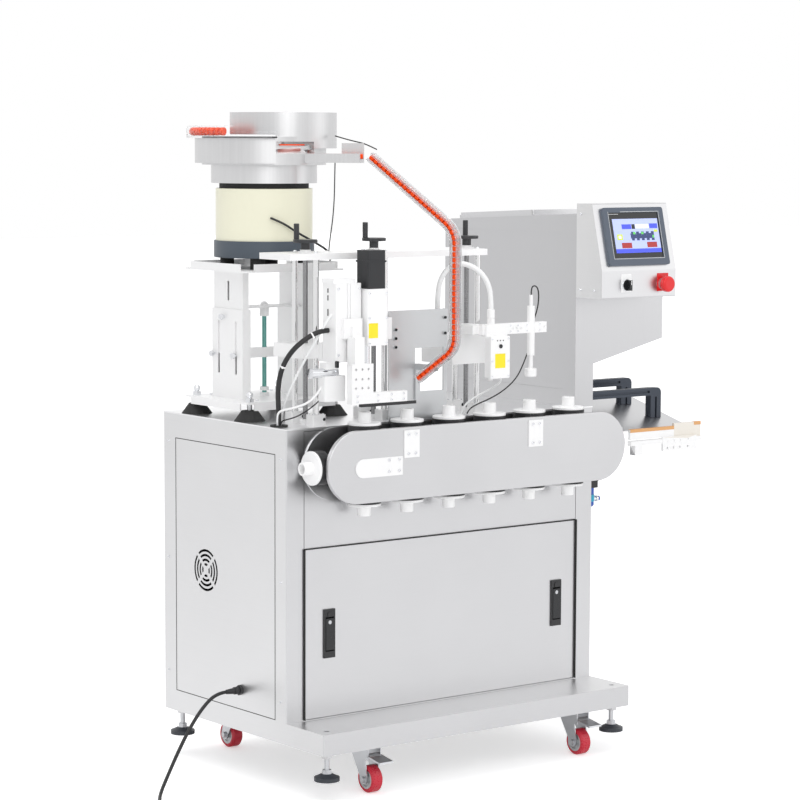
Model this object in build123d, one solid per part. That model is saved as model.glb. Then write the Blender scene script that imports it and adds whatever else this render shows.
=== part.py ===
from build123d import *
import math
import os

# Bottle filling and capping machine on casters.
# Working frame: x to the right from the cabinet's left face, y to the back from its front
# face, z up from the floor. The finished solids are moved so that the origin lies on the
# floor under the middle of the machine's box, cords left out.

# Driving sizes of the chassis and cabinet, in millimetres
WIDTH = 950.0
CABINET_DEPTH = 530.0
BASE_STEP = 150.0
BASE_UNDERSIDE = 115.0
BASE_HEIGHT = 51.0
CABINET_HEIGHT = 693.0
DECK_THICK = 3.0
SHEET = 2.0
BASE_TOP = BASE_UNDERSIDE + BASE_HEIGHT
CABINET_TOP = BASE_TOP + CABINET_HEIGHT
DECK = CABINET_TOP + DECK_THICK
RUNNING = 0.05
TOUCH = 0.3

# Casters and levelling feet
WHEEL_R = 32.5
WHEEL_WIDTH = 30.0
AXLE_R = 4.0
CASTER_TRAIL = 24.0
CASTER_X = (169.0, 822.0)
CASTER_INSET = 70.0
RAIL_WIDTH = 90.0
RAIL_WALL = 4.0
CASTER_PLATE = 66.0
CASTER_PLATE_THICK = 3.0
FOOT_INSET = 32.0
FOOT_R = 30.0
FOOT_STEM_R = 6.0
FOOT_CLEAR = 50.0
FOOT_NUT_HEIGHT = 12.0

# Doors and panels
DOOR_X = (50.0, 896.0)
DOOR_TOP = CABINET_TOP - 283.0
PANEL_GAP = 1.5
TRAY_DEPTH = 15.0
SIDE_PANEL_Y = (46.0, 475.0)
SIDE_PANEL_TOP = CABINET_TOP - 59.0
LIP = 20.0
LATCH_X = (123.0, 831.0)
LATCH_Z = BASE_TOP + 203.0
LATCH_SIZE = (32.0, 117.0)
LATCH_PROUD = 4.0
LATCH_DEEP = 12.0
PADDLE_SIZE = (23.0, 79.0)
PADDLE_THICK = 6.0
PADDLE_PIN_R = 2.5
FAN_Y = 341.0
FAN_Z = 487.0
FAN_R = 54.0
FAN_FRAME = 120.0
FAN_DEEP = 38.0
FAN_SHAFT_R = 3.0
GLAND_Y = 190.0
GLAND_Z = 216.0
GLAND_REACH = 42.0
CORD_R = 4.25

# Conveyor
CHAIN_R = 44.25
CHAIN_PITCH = 127.0
CHAIN_CENTRES = (135.5, 885.5)
CHAIN_Z = DECK - 89.0
CHAIN_Y = -45.0
CHAIN_HALF = 5.0
CHAIN_WIDTH = 16.0
HOLDERS = 6
HOLDER_R = 40.0
HOLDER_BASE = (65.0, 93.0)
HOLDER_DISC = 6.0
NEST_R = 15.75
NEST_HEIGHT = 24.5
NEST_BORE_R = 12.0
NEST_DEPTH = 18.0
COVER_R = 86.0
COVER_FRONT = -100.0
COVER_RIM = 12.0
BACK_PLATE = 4.0
SHAFT_R = 10.0

# Tower and operator box
TOWER_X = (890.0, 1187.0)
TOWER_LEG_X = 950.0
TOWER_CHIN_Z = (DECK + 108.0, DECK + 164.0)
TOWER_TOP = DECK + 488.0
TOWER_REAR_DROP = 26.0
TOWER_BORDER = 49.0
TOWER_RECESS = 3.0
LID_SIZE = (270.0, 300.0)
LID_Y = 185.0
LID_THICK = 12.0
BOX_X = (890.0, 1141.0)
BOX_Z = (DECK + 278.0, DECK + 347.0, DECK + 514.0)
BOX_DEPTH = (97.0, 57.0)
SCREEN_SIZE = (203.0, 148.0)
SCREEN_THICK = 8.0
SCREEN_BORDER = 13.0
CONTROL_Z = DECK + 311.0
KNOB_X = 971.0
STOP_X = 1095.0

# Post stations
STATION_X = (110.0, 312.0, 598.0)
POST_Y = (35.0, 121.0)
POST_R = 7.5
SCREW_R = 6.0
SCREW_LEAD = 5.0
BRIDGE_X = (22.0, 613.0)
BRIDGE_Y = (15.0, 141.0)
BRIDGE_Z = DECK + 391.0
BRIDGE_THICK = 15.0
CLAMP_SIZE = (38.0, 30.0, 26.0)
BEARING_HEIGHT = 12.0
CARRIAGE_HALF = 22.0
CARRIAGE_Y = (22.0, 144.0)
WHEEL_DISC_R = 29.0
WHEEL_DISC_THICK = 8.0
GRIP_R = 6.5
GRIP_HEIGHT = 38.0
GRIP_OFFSET = 21.0

# Cap bowl and its stand
BOWL_X = 161.0
BOWL_Y = 323.0
STAND_SIZE = (290.0, 266.0)
MOUNT_SPACING = (244.0, 230.0)
MOUNT_R = 38.0
MOUNT_HEIGHT = 25.0
PLATE_DEEP = 20.0
PLATE_SHEET = 4.0
NOTCH = 26.0
COLUMN_Y = 132.0
COLUMN_X = 24.0
COLUMN_INSET = 36.0
COLUMN_WALL = 3.0
COLUMN_SPLIT = DECK + 263.0
STAND_TOP = DECK + 375.0
RING_Z = STAND_TOP + 11.0
RING_R = 122.5
SKIRT_Z = RING_Z + 41.0
SKIRT_R = 118.0
CROWN_Z = SKIRT_Z + 126.0
CROWN_GAP = 1.0
BOWL_Z = CROWN_Z + 13.0
BOWL_TIERS = ((129.0, BOWL_Z, BOWL_Z + 44.0), (151.0, BOWL_Z + 44.0, BOWL_Z + 112.0))
BOWL_RIM = (130.0, 37.0, -29.0, BOWL_Z + 84.0, BOWL_Z + 170.0)
BOWL_WALL = 3.0
ROD_R = 5.5

# Cap chute, in an upright plane through CHUTE_FOOT
CHUTE_FOOT = (405.0, -120.0)
CHUTE_ANGLE = -54.8
CHUTE_START = (-212.0, BOWL_Z + 66.0)
CHUTE_KNEE = DECK + 457.0
CHUTE_ELBOW = DECK + 178.0
CHUTE_END = (-92.0, DECK + 103.0)
CHUTE_WIDTH = 30.0
CHUTE_DEEP = 22.0
CHUTE_WALL = 2.5
CAP_R = 11.5
CAP_THICK = 12.0

# Track plate behind the holders
TRACK_X = (300.0, 478.0)
TRACK_Y = 1.0
TRACK_THICK = 4.0
TRACK_TOP = DECK + 265.0
WINDOW_X = (379.0, 466.0)
WINDOW_Z = (DECK + 68.0, DECK + 173.0)

nodes = {}
cord_nodes = ("power_cord", "power_cord_coil")


def block(x0, x1, y0, y1, z0, z1):
    """A box between two corners."""
    return Pos((x0 + x1) / 2, (y0 + y1) / 2, (z0 + z1) / 2) * Box(x1 - x0, y1 - y0, z1 - z0)


def rod(axis, start, length, radius):
    """A round bar from a start point along +X, +Y or +Z."""
    turn = {"x": (0, 90, 0), "y": (-90, 0, 0), "z": (0, 0, 0)}[axis]
    bar = Cylinder(radius, length, align=(Align.CENTER, Align.CENTER, Align.MIN))
    return Location(start, turn) * bar


def cone(start, length, low_r, high_r):
    """A cone frustum that stands on its start point."""
    body = Cone(low_r, high_r, length, align=(Align.CENTER, Align.CENTER, Align.MIN))
    return Pos(*start) * body


def hexagon(axis, start, length, across):
    """A hexagon bar, as a nut or bolt head, across its flats."""
    turn = {"x": (0, 90, 0), "y": (-90, 0, 0), "z": (0, 0, 0)}[axis]
    bar = extrude(RegularPolygon(across / 2, 6, major_radius=False), length)
    return Location(start, turn) * bar


def prism(plane, points, length):
    """A polygon drawn on a plane, extruded along its normal."""
    return extrude(plane * make_face(Polyline(points, close=True)), length)


def union(solids):
    """One shape made of several that touch or overlap."""
    body = solids[0]
    for solid in solids[1:]:
        body = body + solid
    return body


def add(name, *shapes):
    """Adds solids to a node."""
    bag = nodes.setdefault(name, [])
    for shape in shapes:
        bag.extend(shape.solids())


# Base frame: a folded tray, two tubes that carry the casters, and the feet's nuts
def base_frame():
    front = -BASE_STEP
    wall = 3.0
    tray = block(0, WIDTH, front, CABINET_DEPTH, BASE_UNDERSIDE, BASE_TOP)
    upright = [e for e in tray.edges() if abs(e.length - BASE_HEIGHT) < 0.01]
    tray = fillet(upright, 4.0)
    tray = tray - block(wall, WIDTH - wall, front + wall, CABINET_DEPTH - wall,
                        BASE_UNDERSIDE - 1, BASE_TOP - wall)
    parts = [tray]
    low = BASE_UNDERSIDE
    high = BASE_TOP - wall
    for y in caster_rows():
        half = RAIL_WIDTH / 2
        rail = block(wall, WIDTH - wall, y - half, y + half, low, high)
        rail = rail - block(0, WIDTH, y - half + RAIL_WALL, y + half - RAIL_WALL,
                            low + RAIL_WALL, high - RAIL_WALL)
        parts.append(rail)
    for x, y in foot_places():
        parts.append(hexagon("z", (x, y, low - FOOT_NUT_HEIGHT), FOOT_NUT_HEIGHT, 24))
        parts.append(block(x - 22, x + 22, y - 22, y + 22, low, high))
    frame = union(parts)
    for x, y in foot_places():
        frame = frame - rod("z", (x, y, low - 20), BASE_HEIGHT + 17 - wall + 20,
                            FOOT_STEM_R + RUNNING)
    add("base_frame", frame)


def caster_rows():
    """The y of the swivel axes, front row first."""
    return (-BASE_STEP + CASTER_INSET, CABINET_DEPTH - CASTER_INSET)


def foot_places():
    front = -BASE_STEP + FOOT_INSET
    back = CABINET_DEPTH - FOOT_INSET
    return [(x, y) for y in (front, back) for x in (FOOT_INSET, WIDTH - FOOT_INSET)]


def caster_plates():
    plate_z = BASE_UNDERSIDE - CASTER_PLATE_THICK
    bolt = CASTER_PLATE / 2 - 7
    for y in caster_rows():
        for x in CASTER_X:
            half = CASTER_PLATE / 2
            plate = block(x - half, x + half, y - half, y + half, plate_z, BASE_UNDERSIDE)
            pin = rod("z", (x, y, SWIVEL_CROWN_Z), plate_z - SWIVEL_CROWN_Z + 1, KINGPIN_R)
            head = rod("z", (x, y, SWIVEL_CROWN_Z - 5), 5, KINGPIN_R + 3)
            body = plate + pin + head
            for i in (-1, 1):
                for j in (-1, 1):
                    body = body + hexagon("z", (x + i * bolt, y + j * bolt, plate_z - 4), 4.5, 9)
            add("base_frame", body)


SWIVEL_CROWN_Z = 103.0
KINGPIN_R = 5.0
CROWN_THICK = 4.0
SEAL_R = 27.0
FORK_LEG = 3.0
FORK_GAP = 2.0


def caster(name, x, y, trail):
    """A fork with its seal ring, and its wheel. The wheel rolls along y."""
    crown_top = SWIVEL_CROWN_Z + CROWN_THICK
    plate_z = BASE_UNDERSIDE - CASTER_PLATE_THICK
    inner = WHEEL_WIDTH / 2 + FORK_GAP
    outer = inner + FORK_LEG
    wheel_y = y + trail
    side = math.copysign(1, trail)
    outline = [(-26 * side, crown_top), (26 * side, crown_top), (26 * side, crown_top - 12),
               (trail + 12 * side, WHEEL_R + 8), (trail + 12 * side, WHEEL_R),
               (trail - 12 * side, WHEEL_R), (-26 * side, crown_top - 14)]
    legs = []
    for offset in (-outer, inner):
        plane = Plane(origin=(x + offset, y, 0), x_dir=(0, 1, 0), z_dir=(1, 0, 0))
        leg = prism(plane, outline, FORK_LEG)
        leg = leg + rod("x", (x + offset, wheel_y, WHEEL_R), FORK_LEG, 12)
        legs.append(leg)
    crown = block(x - outer, x + outer, y - 26, y + 26, SWIVEL_CROWN_Z, crown_top)
    axle = rod("x", (x - outer - 1, wheel_y, WHEEL_R), 2 * outer + 2, AXLE_R)
    heads = (hexagon("x", (x - outer - 6, wheel_y, WHEEL_R), 6, 13)
             + hexagon("x", (x + outer, wheel_y, WHEEL_R), 6, 13))
    fork = union(legs + [crown, axle, heads])
    fork = fork - rod("z", (x, y, SWIVEL_CROWN_Z - 1), CROWN_THICK + 2, KINGPIN_R + RUNNING)
    seal = rod("z", (x, y, crown_top), plate_z - crown_top, SEAL_R)
    seal = seal - rod("z", (x, y, crown_top - 1), 10, KINGPIN_R + 3)
    add("caster_fork_" + name, fork, seal)

    half = WHEEL_WIDTH / 2
    tyre = rod("x", (x - half, wheel_y, WHEEL_R), WHEEL_WIDTH, WHEEL_R)
    tyre = chamfer(tyre.edges().filter_by(GeomType.CIRCLE), 4.0)
    core_r = WHEEL_R * 0.72
    tyre = tyre - rod("x", (x - half - 1, wheel_y, WHEEL_R), WHEEL_WIDTH + 2, core_r)
    core = rod("x", (x - half + 1, wheel_y, WHEEL_R), WHEEL_WIDTH - 2, core_r)
    groove = rod("x", (x - half, wheel_y, WHEEL_R), 5, core_r - 5) - rod(
        "x", (x - half, wheel_y, WHEEL_R), 5, 9)
    core = core - groove - Pos(WHEEL_WIDTH - 5, 0, 0) * groove
    core = core - rod("x", (x - half, wheel_y, WHEEL_R), WHEEL_WIDTH, AXLE_R + RUNNING)
    add("caster_wheel_" + name, tyre, core)


PEDAL_REACH = 86.0
PEDAL_WIDTH = 40.0
PEDAL_PIN_Y = 33.0
PEDAL_PIN_Z = 88.0
PEDAL_PIN_R = 3.0


def brake_pedal(name, x, y):
    """A zinc pedal on a cross pin in front of the fork, and the pin's ears on the fork."""
    inner = WHEEL_WIDTH / 2 + FORK_GAP
    outer = inner + FORK_LEG
    pin_y = y - PEDAL_PIN_Y
    ears = []
    for offset in (-outer, inner):
        ear = block(x + offset, x + offset + FORK_LEG, pin_y - 7, y - 20,
                    PEDAL_PIN_Z - 8, SWIVEL_CROWN_Z + CROWN_THICK)
        ears.append(ear)
    pin = rod("x", (x - outer, pin_y, PEDAL_PIN_Z), 2 * outer, PEDAL_PIN_R)
    fork = nodes["caster_fork_" + name]
    fork[0] = (fork[0] + union(ears) + pin).solids()[0]
    tip = y - PEDAL_REACH
    half = PEDAL_WIDTH / 2
    hub = rod("x", (x - inner + 0.5, pin_y, PEDAL_PIN_Z), 2 * inner - 1, 7)
    blade = prism(Plane(origin=(x - half, 0, 0), x_dir=(0, 1, 0), z_dir=(1, 0, 0)),
                  [(pin_y - 9, 91), (tip, 83), (tip - 2, 79), (tip, 79), (pin_y - 9, 86)],
                  PEDAL_WIDTH)
    neck = block(x - inner + 0.5, x + inner - 0.5, pin_y - 12, pin_y - 4, 84.5, 91)
    pedal = union([hub, neck, blade])
    pedal = pedal - rod("x", (x - outer, pin_y, PEDAL_PIN_Z), 2 * outer, PEDAL_PIN_R + RUNNING)
    add("brake_pedal_" + name, pedal)


# Levelling feet: domed rubber pads on threaded stems, raised off the floor
def levelling_feet():
    for x, y in foot_places():
        pad = rod("z", (x, y, FOOT_CLEAR), 9, FOOT_R)
        dome = cone((x, y, FOOT_CLEAR + 9), 8, FOOT_R - 2, 13)
        lock = hexagon("z", (x, y, FOOT_CLEAR + 17), 9, 20)
        stem_top = BASE_TOP - 4
        stem = rod("z", (x, y, FOOT_CLEAR + 17), stem_top - FOOT_CLEAR - 17, FOOT_STEM_R)
        add("levelling_feet", union([pad, dome, lock, stem]))


# Cabinet: walls with the door, side and fan openings, a lip behind each opening
def cabinet_shell():
    inner_top = CABINET_TOP
    shell = block(0, WIDTH, 0, CABINET_DEPTH, BASE_TOP, CABINET_TOP)
    upright = [e for e in shell.edges() if abs(e.length - CABINET_HEIGHT) < 0.01]
    shell = fillet(upright, 3.0)
    shell = shell - block(SHEET, WIDTH - SHEET, SHEET, CABINET_DEPTH - SHEET,
                          BASE_TOP - 1, inner_top + 1)
    x0, x1 = DOOR_X
    door_hole = block(x0, x1, -1, SHEET + 1, BASE_TOP + 2, CABINET_TOP - 4)
    y0, y1 = SIDE_PANEL_Y
    side_hole = block(-1, SHEET + 1, y0, y1, BASE_TOP + 2, SIDE_PANEL_TOP)
    shell = shell - door_hole - side_hole
    depth = TRAY_DEPTH
    lip = block(x0 - LIP, x1 + LIP, depth, depth + SHEET, BASE_TOP, CABINET_TOP)
    lip = lip - block(x0 + LIP, x1 - LIP, depth - 1, depth + 3, BASE_TOP + LIP, DOOR_TOP - LIP)
    lip = lip - block(x0 + LIP, x1 - LIP, depth - 1, depth + 3, DOOR_TOP + LIP,
                      CABINET_TOP - LIP)
    webs = [block(x0 - LIP, x0 - LIP + SHEET, 0.5, depth + 1, BASE_TOP, CABINET_TOP),
            block(x1 + LIP - SHEET, x1 + LIP, 0.5, depth + 1, BASE_TOP, CABINET_TOP)]
    side_lip = block(depth, depth + SHEET, y0 - LIP, y1 + LIP, BASE_TOP, SIDE_PANEL_TOP + LIP)
    side_lip = side_lip - block(depth - 1, depth + 3, y0 + LIP, y1 - LIP, BASE_TOP + LIP,
                                SIDE_PANEL_TOP - LIP)
    side_webs = [block(0.5, depth + 1, y0 - LIP, y0 - LIP + SHEET, BASE_TOP, SIDE_PANEL_TOP + LIP),
                 block(0.5, depth + 1, y1 + LIP - SHEET, y1 + LIP, BASE_TOP,
                       SIDE_PANEL_TOP + LIP)]
    shell = union([shell, lip, side_lip] + webs + side_webs)
    shaft_hole = rod("y", (CHAIN_CENTRES[1], depth - 5, CHAIN_Z), 10, SHAFT_R + 4)
    add("cabinet_shell", shell - shaft_hole)
    upper = block(x0 + PANEL_GAP, x1 - PANEL_GAP, 0, depth, DOOR_TOP + PANEL_GAP,
                  CABINET_TOP - 4 - PANEL_GAP)
    upper = upper - block(x0 + PANEL_GAP + SHEET, x1 - PANEL_GAP - SHEET, SHEET, depth + 1,
                          DOOR_TOP + PANEL_GAP + SHEET, CABINET_TOP - 4 - PANEL_GAP - SHEET)
    upper = upper - rod("y", (CHAIN_CENTRES[1], -1, CHAIN_Z), depth + 2, SHAFT_R + 4)
    add("cabinet_shell", upper)


def deck_plate():
    plate = block(0, WIDTH, 0, CABINET_DEPTH, CABINET_TOP, DECK)
    gx, gy = GROMMET
    plate = plate - rod("z", (gx, gy, CABINET_TOP - 1), 6, GROMMET_R)
    add("deck_plate", plate)
    collar = rod("z", (gx, gy, CABINET_TOP), DECK_THICK + 4, GROMMET_R)
    collar = collar + rod("z", (gx, gy, DECK), 4, GROMMET_R + 4)
    add("deck_plate", collar - rod("z", (gx, gy, CABINET_TOP - 1), 12, GROMMET_R - 4))


GROMMET = (24.0, 64.0)
GROMMET_R = 17.0


def tray_panel(x0, x1, z0, z1):
    """A sheet tray with its face at y = 0 and its rim turned inwards."""
    tray = block(x0, x1, 0, TRAY_DEPTH, z0, z1)
    return tray - block(x0 + SHEET, x1 - SHEET, SHEET, TRAY_DEPTH + 1, z0 + SHEET, z1 - SHEET)


# Lift-off door with two latch housings, each with a paddle on a cross pin
def front_door():
    x0 = DOOR_X[0] + PANEL_GAP
    x1 = DOOR_X[1] - PANEL_GAP
    door = tray_panel(x0, x1, BASE_TOP + 2 + PANEL_GAP, DOOR_TOP - PANEL_GAP)
    w, h = LATCH_SIZE
    for x in LATCH_X:
        door = door - block(x - w / 2 + 2, x + w / 2 - 2, -1, 5, LATCH_Z - h / 2 + 2,
                            LATCH_Z + h / 2 - 2)
    add("front_door", door)
    pw, ph = PADDLE_SIZE
    pin_z = paddle_pin_z()
    for x, side in zip(LATCH_X, ("left", "right")):
        flange = block(x - w / 2, x + w / 2, -LATCH_PROUD, 0, LATCH_Z - h / 2, LATCH_Z + h / 2)
        body = block(x - w / 2 + 2, x + w / 2 - 2, -1, LATCH_DEEP, LATCH_Z - h / 2 + 2,
                     LATCH_Z + h / 2 - 2)
        pocket = block(x - pw / 2 - 1, x + pw / 2 + 1, -10, LATCH_DEEP - 3,
                       pin_z - ph + 4, pin_z + 8)
        ridge = rod("y", (x, -LATCH_PROUD - 1.5, pin_z + 14), 1.5, 7)
        housing = flange + body + ridge - pocket
        pin = rod("x", (x - pw / 2 - 3, PADDLE_PIN_Y, pin_z), pw + 6, PADDLE_PIN_R)
        add("front_door", housing + pin)
        paddle = block(x - pw / 2, x + pw / 2, -LATCH_PROUD - 1, -LATCH_PROUD - 1 + PADDLE_THICK,
                       pin_z - ph + 7, pin_z + 4)
        hinge = rod("x", (x - pw / 2, PADDLE_PIN_Y, pin_z), pw, PADDLE_PIN_R + 2)
        paddle = paddle + hinge - rod("x", (x - pw, PADDLE_PIN_Y, pin_z), 2 * pw,
                                      PADDLE_PIN_R + RUNNING)
        add("door_latch_" + side, paddle)


PADDLE_PIN_Y = 1.0


def paddle_pin_z():
    return LATCH_Z + 32.0


# Side panel with the vent, and the fan frame behind it
def side_panel():
    y0 = SIDE_PANEL_Y[0] + PANEL_GAP
    y1 = SIDE_PANEL_Y[1] - PANEL_GAP
    z0 = BASE_TOP + 2 + PANEL_GAP
    z1 = SIDE_PANEL_TOP - PANEL_GAP
    panel = block(0, TRAY_DEPTH, y0, y1, z0, z1)
    panel = panel - block(SHEET, TRAY_DEPTH + 1, y0 + SHEET, y1 - SHEET, z0 + SHEET, z1 - SHEET)
    plane = Plane(origin=(-1, FAN_Y, FAN_Z), x_dir=(0, 1, 0), z_dir=(1, 0, 0))
    bars = Rot(0, 0, 45) * (Rectangle(130, 9) + Rectangle(9, 130))
    slots = Sketch()
    for r in (14, 25.5, 37, 48.5):
        slots = slots + (Circle(r + 3) - Circle(r - 3))
    panel = panel - extrude(plane * (slots - bars), SHEET + 2)
    panel = panel - rod("x", (-1, GLAND_Y, GLAND_Z), SHEET + 2, 8)
    add("side_panel", panel)
    half = FAN_FRAME / 2
    frame = block(SHEET, SHEET + FAN_DEEP, FAN_Y - half, FAN_Y + half, FAN_Z - half, FAN_Z + half)
    frame = frame - rod("x", (0, FAN_Y, FAN_Z), FAN_DEEP + 10, FAN_R + 2)
    back = SHEET + FAN_DEEP - 3
    hub = rod("x", (back, FAN_Y, FAN_Z), 3, 20)
    struts = [block(back, back + 3, FAN_Y - 3, FAN_Y + 3, FAN_Z - half + 1, FAN_Z + half - 1),
              block(back, back + 3, FAN_Y - half + 1, FAN_Y + half - 1, FAN_Z - 3, FAN_Z + 3)]
    frame = union([frame, hub] + struts)
    frame = frame - rod("x", (back - 1, FAN_Y, FAN_Z), 5, FAN_SHAFT_R + RUNNING)
    add("side_panel", frame)
    rotor = rod("x", (SHEET + 7, FAN_Y, FAN_Z), FAN_DEEP - 14, 19)
    for i in range(7):
        blade = Pos(SHEET + FAN_DEEP / 2, FAN_Y, FAN_Z) * Rot(360 / 7 * i, 0, 0) * Pos(
            0, 0, 34) * Rot(0, 0, 40) * Box(2, 24, 38)
        rotor = rotor + blade
    rotor = rotor & rod("x", (0, FAN_Y, FAN_Z), FAN_DEEP + 10, FAN_R)
    shaft = rod("x", (SHEET + 8, FAN_Y, FAN_Z), FAN_DEEP - 8, FAN_SHAFT_R)
    add("fan_rotor", rotor + shaft)


# Gland, mains lead, its coil and plug
def power_cord():
    tip = -GLAND_REACH
    nut = hexagon("x", (-8, GLAND_Y, GLAND_Z), 8, 22)
    dome = rod("x", (-20, GLAND_Y, GLAND_Z), 12, 9)
    relief = Location((-20, GLAND_Y, GLAND_Z), (0, -90, 0)) * Cone(
        7.5, CORD_R + 1.2, GLAND_REACH - 20, align=(Align.CENTER, Align.CENTER, Align.MIN))
    thread = rod("x", (0, GLAND_Y, GLAND_Z), 12, 8)
    lock = hexagon("x", (SHEET, GLAND_Y, GLAND_Z), 5, 21)
    gland = union([nut, dome, relief, thread, lock])
    add("cord_gland", gland)
    tube("power_cord", CORD_POINTS, CORD_R)
    coil_x, coil_y = COIL_CENTRE
    ring = rod("z", (coil_x, coil_y, 0), COIL_HEIGHT, COIL_R + COIL_HALF)
    ring = ring - rod("z", (coil_x, coil_y, -1), COIL_HEIGHT + 2, COIL_R - COIL_HALF)
    ring = fillet(ring.edges().filter_by(GeomType.CIRCLE), 3.0)
    add("power_cord_coil", ring)
    px, py = PLUG_PLACE
    grip = block(px - 22, px + 14, py - PLUG_HALF, py + PLUG_HALF, 0, 26)
    grip = fillet(grip.edges().filter_by(Axis.X), 5.0)
    pins = [rod("x", (px + 14, py + j * 9.5, 13), 19, 2.4) for j in (-1, 1)]
    neck = rod("x", (px - 34, py, 13), 12, 6)
    add("power_cord_coil", union([grip, neck] + pins))
    tube("power_cord_coil", TAIL_POINTS, CORD_R)


CORD_POINTS = [
    (-GLAND_REACH, GLAND_Y, GLAND_Z),
    (-72.0, GLAND_Y, GLAND_Z),
    (-112.0, 189.0, 186.0),
    (-150.0, 186.0, 142.0),
    (-186.0, 180.0, 92.0),
    (-222.0, 168.0, 44.0),
    (-262.0, 140.0, 10.0),
    (-296.0, 90.0, CORD_R),
    (-318.0, 32.0, CORD_R),
    (-318.0, -26.0, CORD_R),
]
COIL_R = 47.0
COIL_HALF = 3 * CORD_R + 0.5
COIL_HEIGHT = 4 * CORD_R + 0.6
# The lead runs into the coil along its mean circle
COIL_ENTRY = math.sqrt((COIL_R + COIL_HALF) ** 2 - (COIL_R - CORD_R) ** 2) + 0.1
COIL_CENTRE = (CORD_POINTS[-1][0] + COIL_R, CORD_POINTS[-1][1] - COIL_ENTRY)
PLUG_HALF = 14.0
PLUG_PLACE = (COIL_CENTRE[0] + 4, COIL_CENTRE[1] - COIL_R - COIL_HALF - PLUG_HALF)
TAIL_POINTS = [
    (PLUG_PLACE[0] - 34, PLUG_PLACE[1], 13.0),
    (PLUG_PLACE[0] - 48, PLUG_PLACE[1] + 3, 12.0),
    (COIL_CENTRE[0] - 47.5, COIL_CENTRE[1] - 43.8, 9.0),
]


def tube(node, points, radius):
    """A round tube along straight runs joined by arcs as large as the runs allow."""
    corners = [Vector(*p) for p in points]
    radii = []
    for a, b, c in zip(corners, corners[1:], corners[2:]):
        turn = math.radians((b - a).get_angle(c - b))
        shorter = min((b - a).length, (c - b).length)
        radii.append(0.45 * shorter / math.tan(turn / 2))
    path = FilletPolyline(*corners, radius=radii)
    section = Plane(origin=corners[0], z_dir=corners[1] - corners[0]) * Circle(radius)
    body = sweep(section, path=path)
    expected = math.pi * radius ** 2 * path.length
    print(node, "length", round(path.length, 1), "least radius", round(min(radii), 1),
          "volume share", round(body.volume / expected, 4))
    add(node, body)
    return path.length


# Controller plate inside the cabinet
def control_gear():
    back = CABINET_DEPTH - SHEET
    plate = block(150, 800, back - 12, back, 260, 760)
    rails = [block(180, 770, back - 22, back - 12, z, z + 35) for z in (360, 560)]
    add("control_gear", union([plate] + rails))
    for x, w, h, deep in ((200, 130, 100, 62), (350, 60, 110, 75), (430, 110, 125, 60),
                          (560, 90, 90, 55)):
        add("control_gear", block(x, x + w, back - 22 - deep, back - 22, 577 - h / 2, 577 + h / 2))
    add("control_gear", block(200, 520, back - 22 - 44, back - 22, 355, 400))
    add("control_gear", block(560, 700, back - 22 - 50, back - 22, 345, 410))
    manifold = block(200, 420, back - 60, back - 12, 440, 490)
    add("control_gear", manifold)


# Conveyor
def stadium(radius, y0, y1):
    """A round-ended plate around the two chain centres."""
    x0, x1 = CHAIN_CENTRES
    body = block(x0, x1, y0, y1, CHAIN_Z - radius, CHAIN_Z + radius)
    for x in CHAIN_CENTRES:
        body = body + rod("y", (x, y0, CHAIN_Z), y1 - y0, radius)
    return body


def holder_places():
    """The x of the holders on the straight runs."""
    first = CHAIN_CENTRES[0] + CHAIN_PITCH - math.pi / 2 * CHAIN_R
    return [first + i * CHAIN_PITCH for i in range(HOLDERS)]


def holder():
    """One bottle holder that points up from the chain's centre line, around z = 0."""
    low, high = HOLDER_BASE
    foot = block(-14, 14, -14, 14, CHAIN_R + CHAIN_HALF, low)
    base = rod("z", (0, 0, low), high - low, HOLDER_R)
    body = foot + base
    body = body - rod("z", (0, 0, high - 4), 6, 10)
    disc = rod("z", (0, 0, high), HOLDER_DISC, HOLDER_R)
    disc = fillet(disc.edges().sort_by(Axis.Z)[-1:], 2.0)
    disc = disc - rod("z", (0, 0, high - 1), HOLDER_DISC + 2, NEST_R)
    nest = rod("z", (0, 0, high), HOLDER_DISC + NEST_HEIGHT, NEST_R)
    nest = fillet(nest.edges().sort_by(Axis.Z)[-1:], 1.5)
    nest = nest - rod("z", (0, 0, high + HOLDER_DISC + NEST_HEIGHT - NEST_DEPTH),
                      NEST_DEPTH + 1, NEST_BORE_R)
    return body, disc, nest


def runs():
    """The straight chain runs with their holders."""
    xs = holder_places()
    one = holder()
    half = CHAIN_WIDTH / 2
    low, high = CHAIN_CENTRES
    for node, flip, z, x0, x1 in (("top_run", 0, CHAIN_R, low + WRAP_GAP, high - 1),
                                  ("bottom_run", 180, -CHAIN_R, low + 1, high - WRAP_GAP)):
        strip = block(x0, x1, CHAIN_Y - half, CHAIN_Y + half,
                      CHAIN_Z + z - CHAIN_HALF, CHAIN_Z + z + CHAIN_HALF)
        for x in xs:
            place = Pos(x, CHAIN_Y, CHAIN_Z) * Rot(flip, 0, 0)
            strip = strip + place * one[0]
            add(node, place * one[1], place * one[2])
        nodes[node].insert(0, strip.solids()[0])


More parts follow.
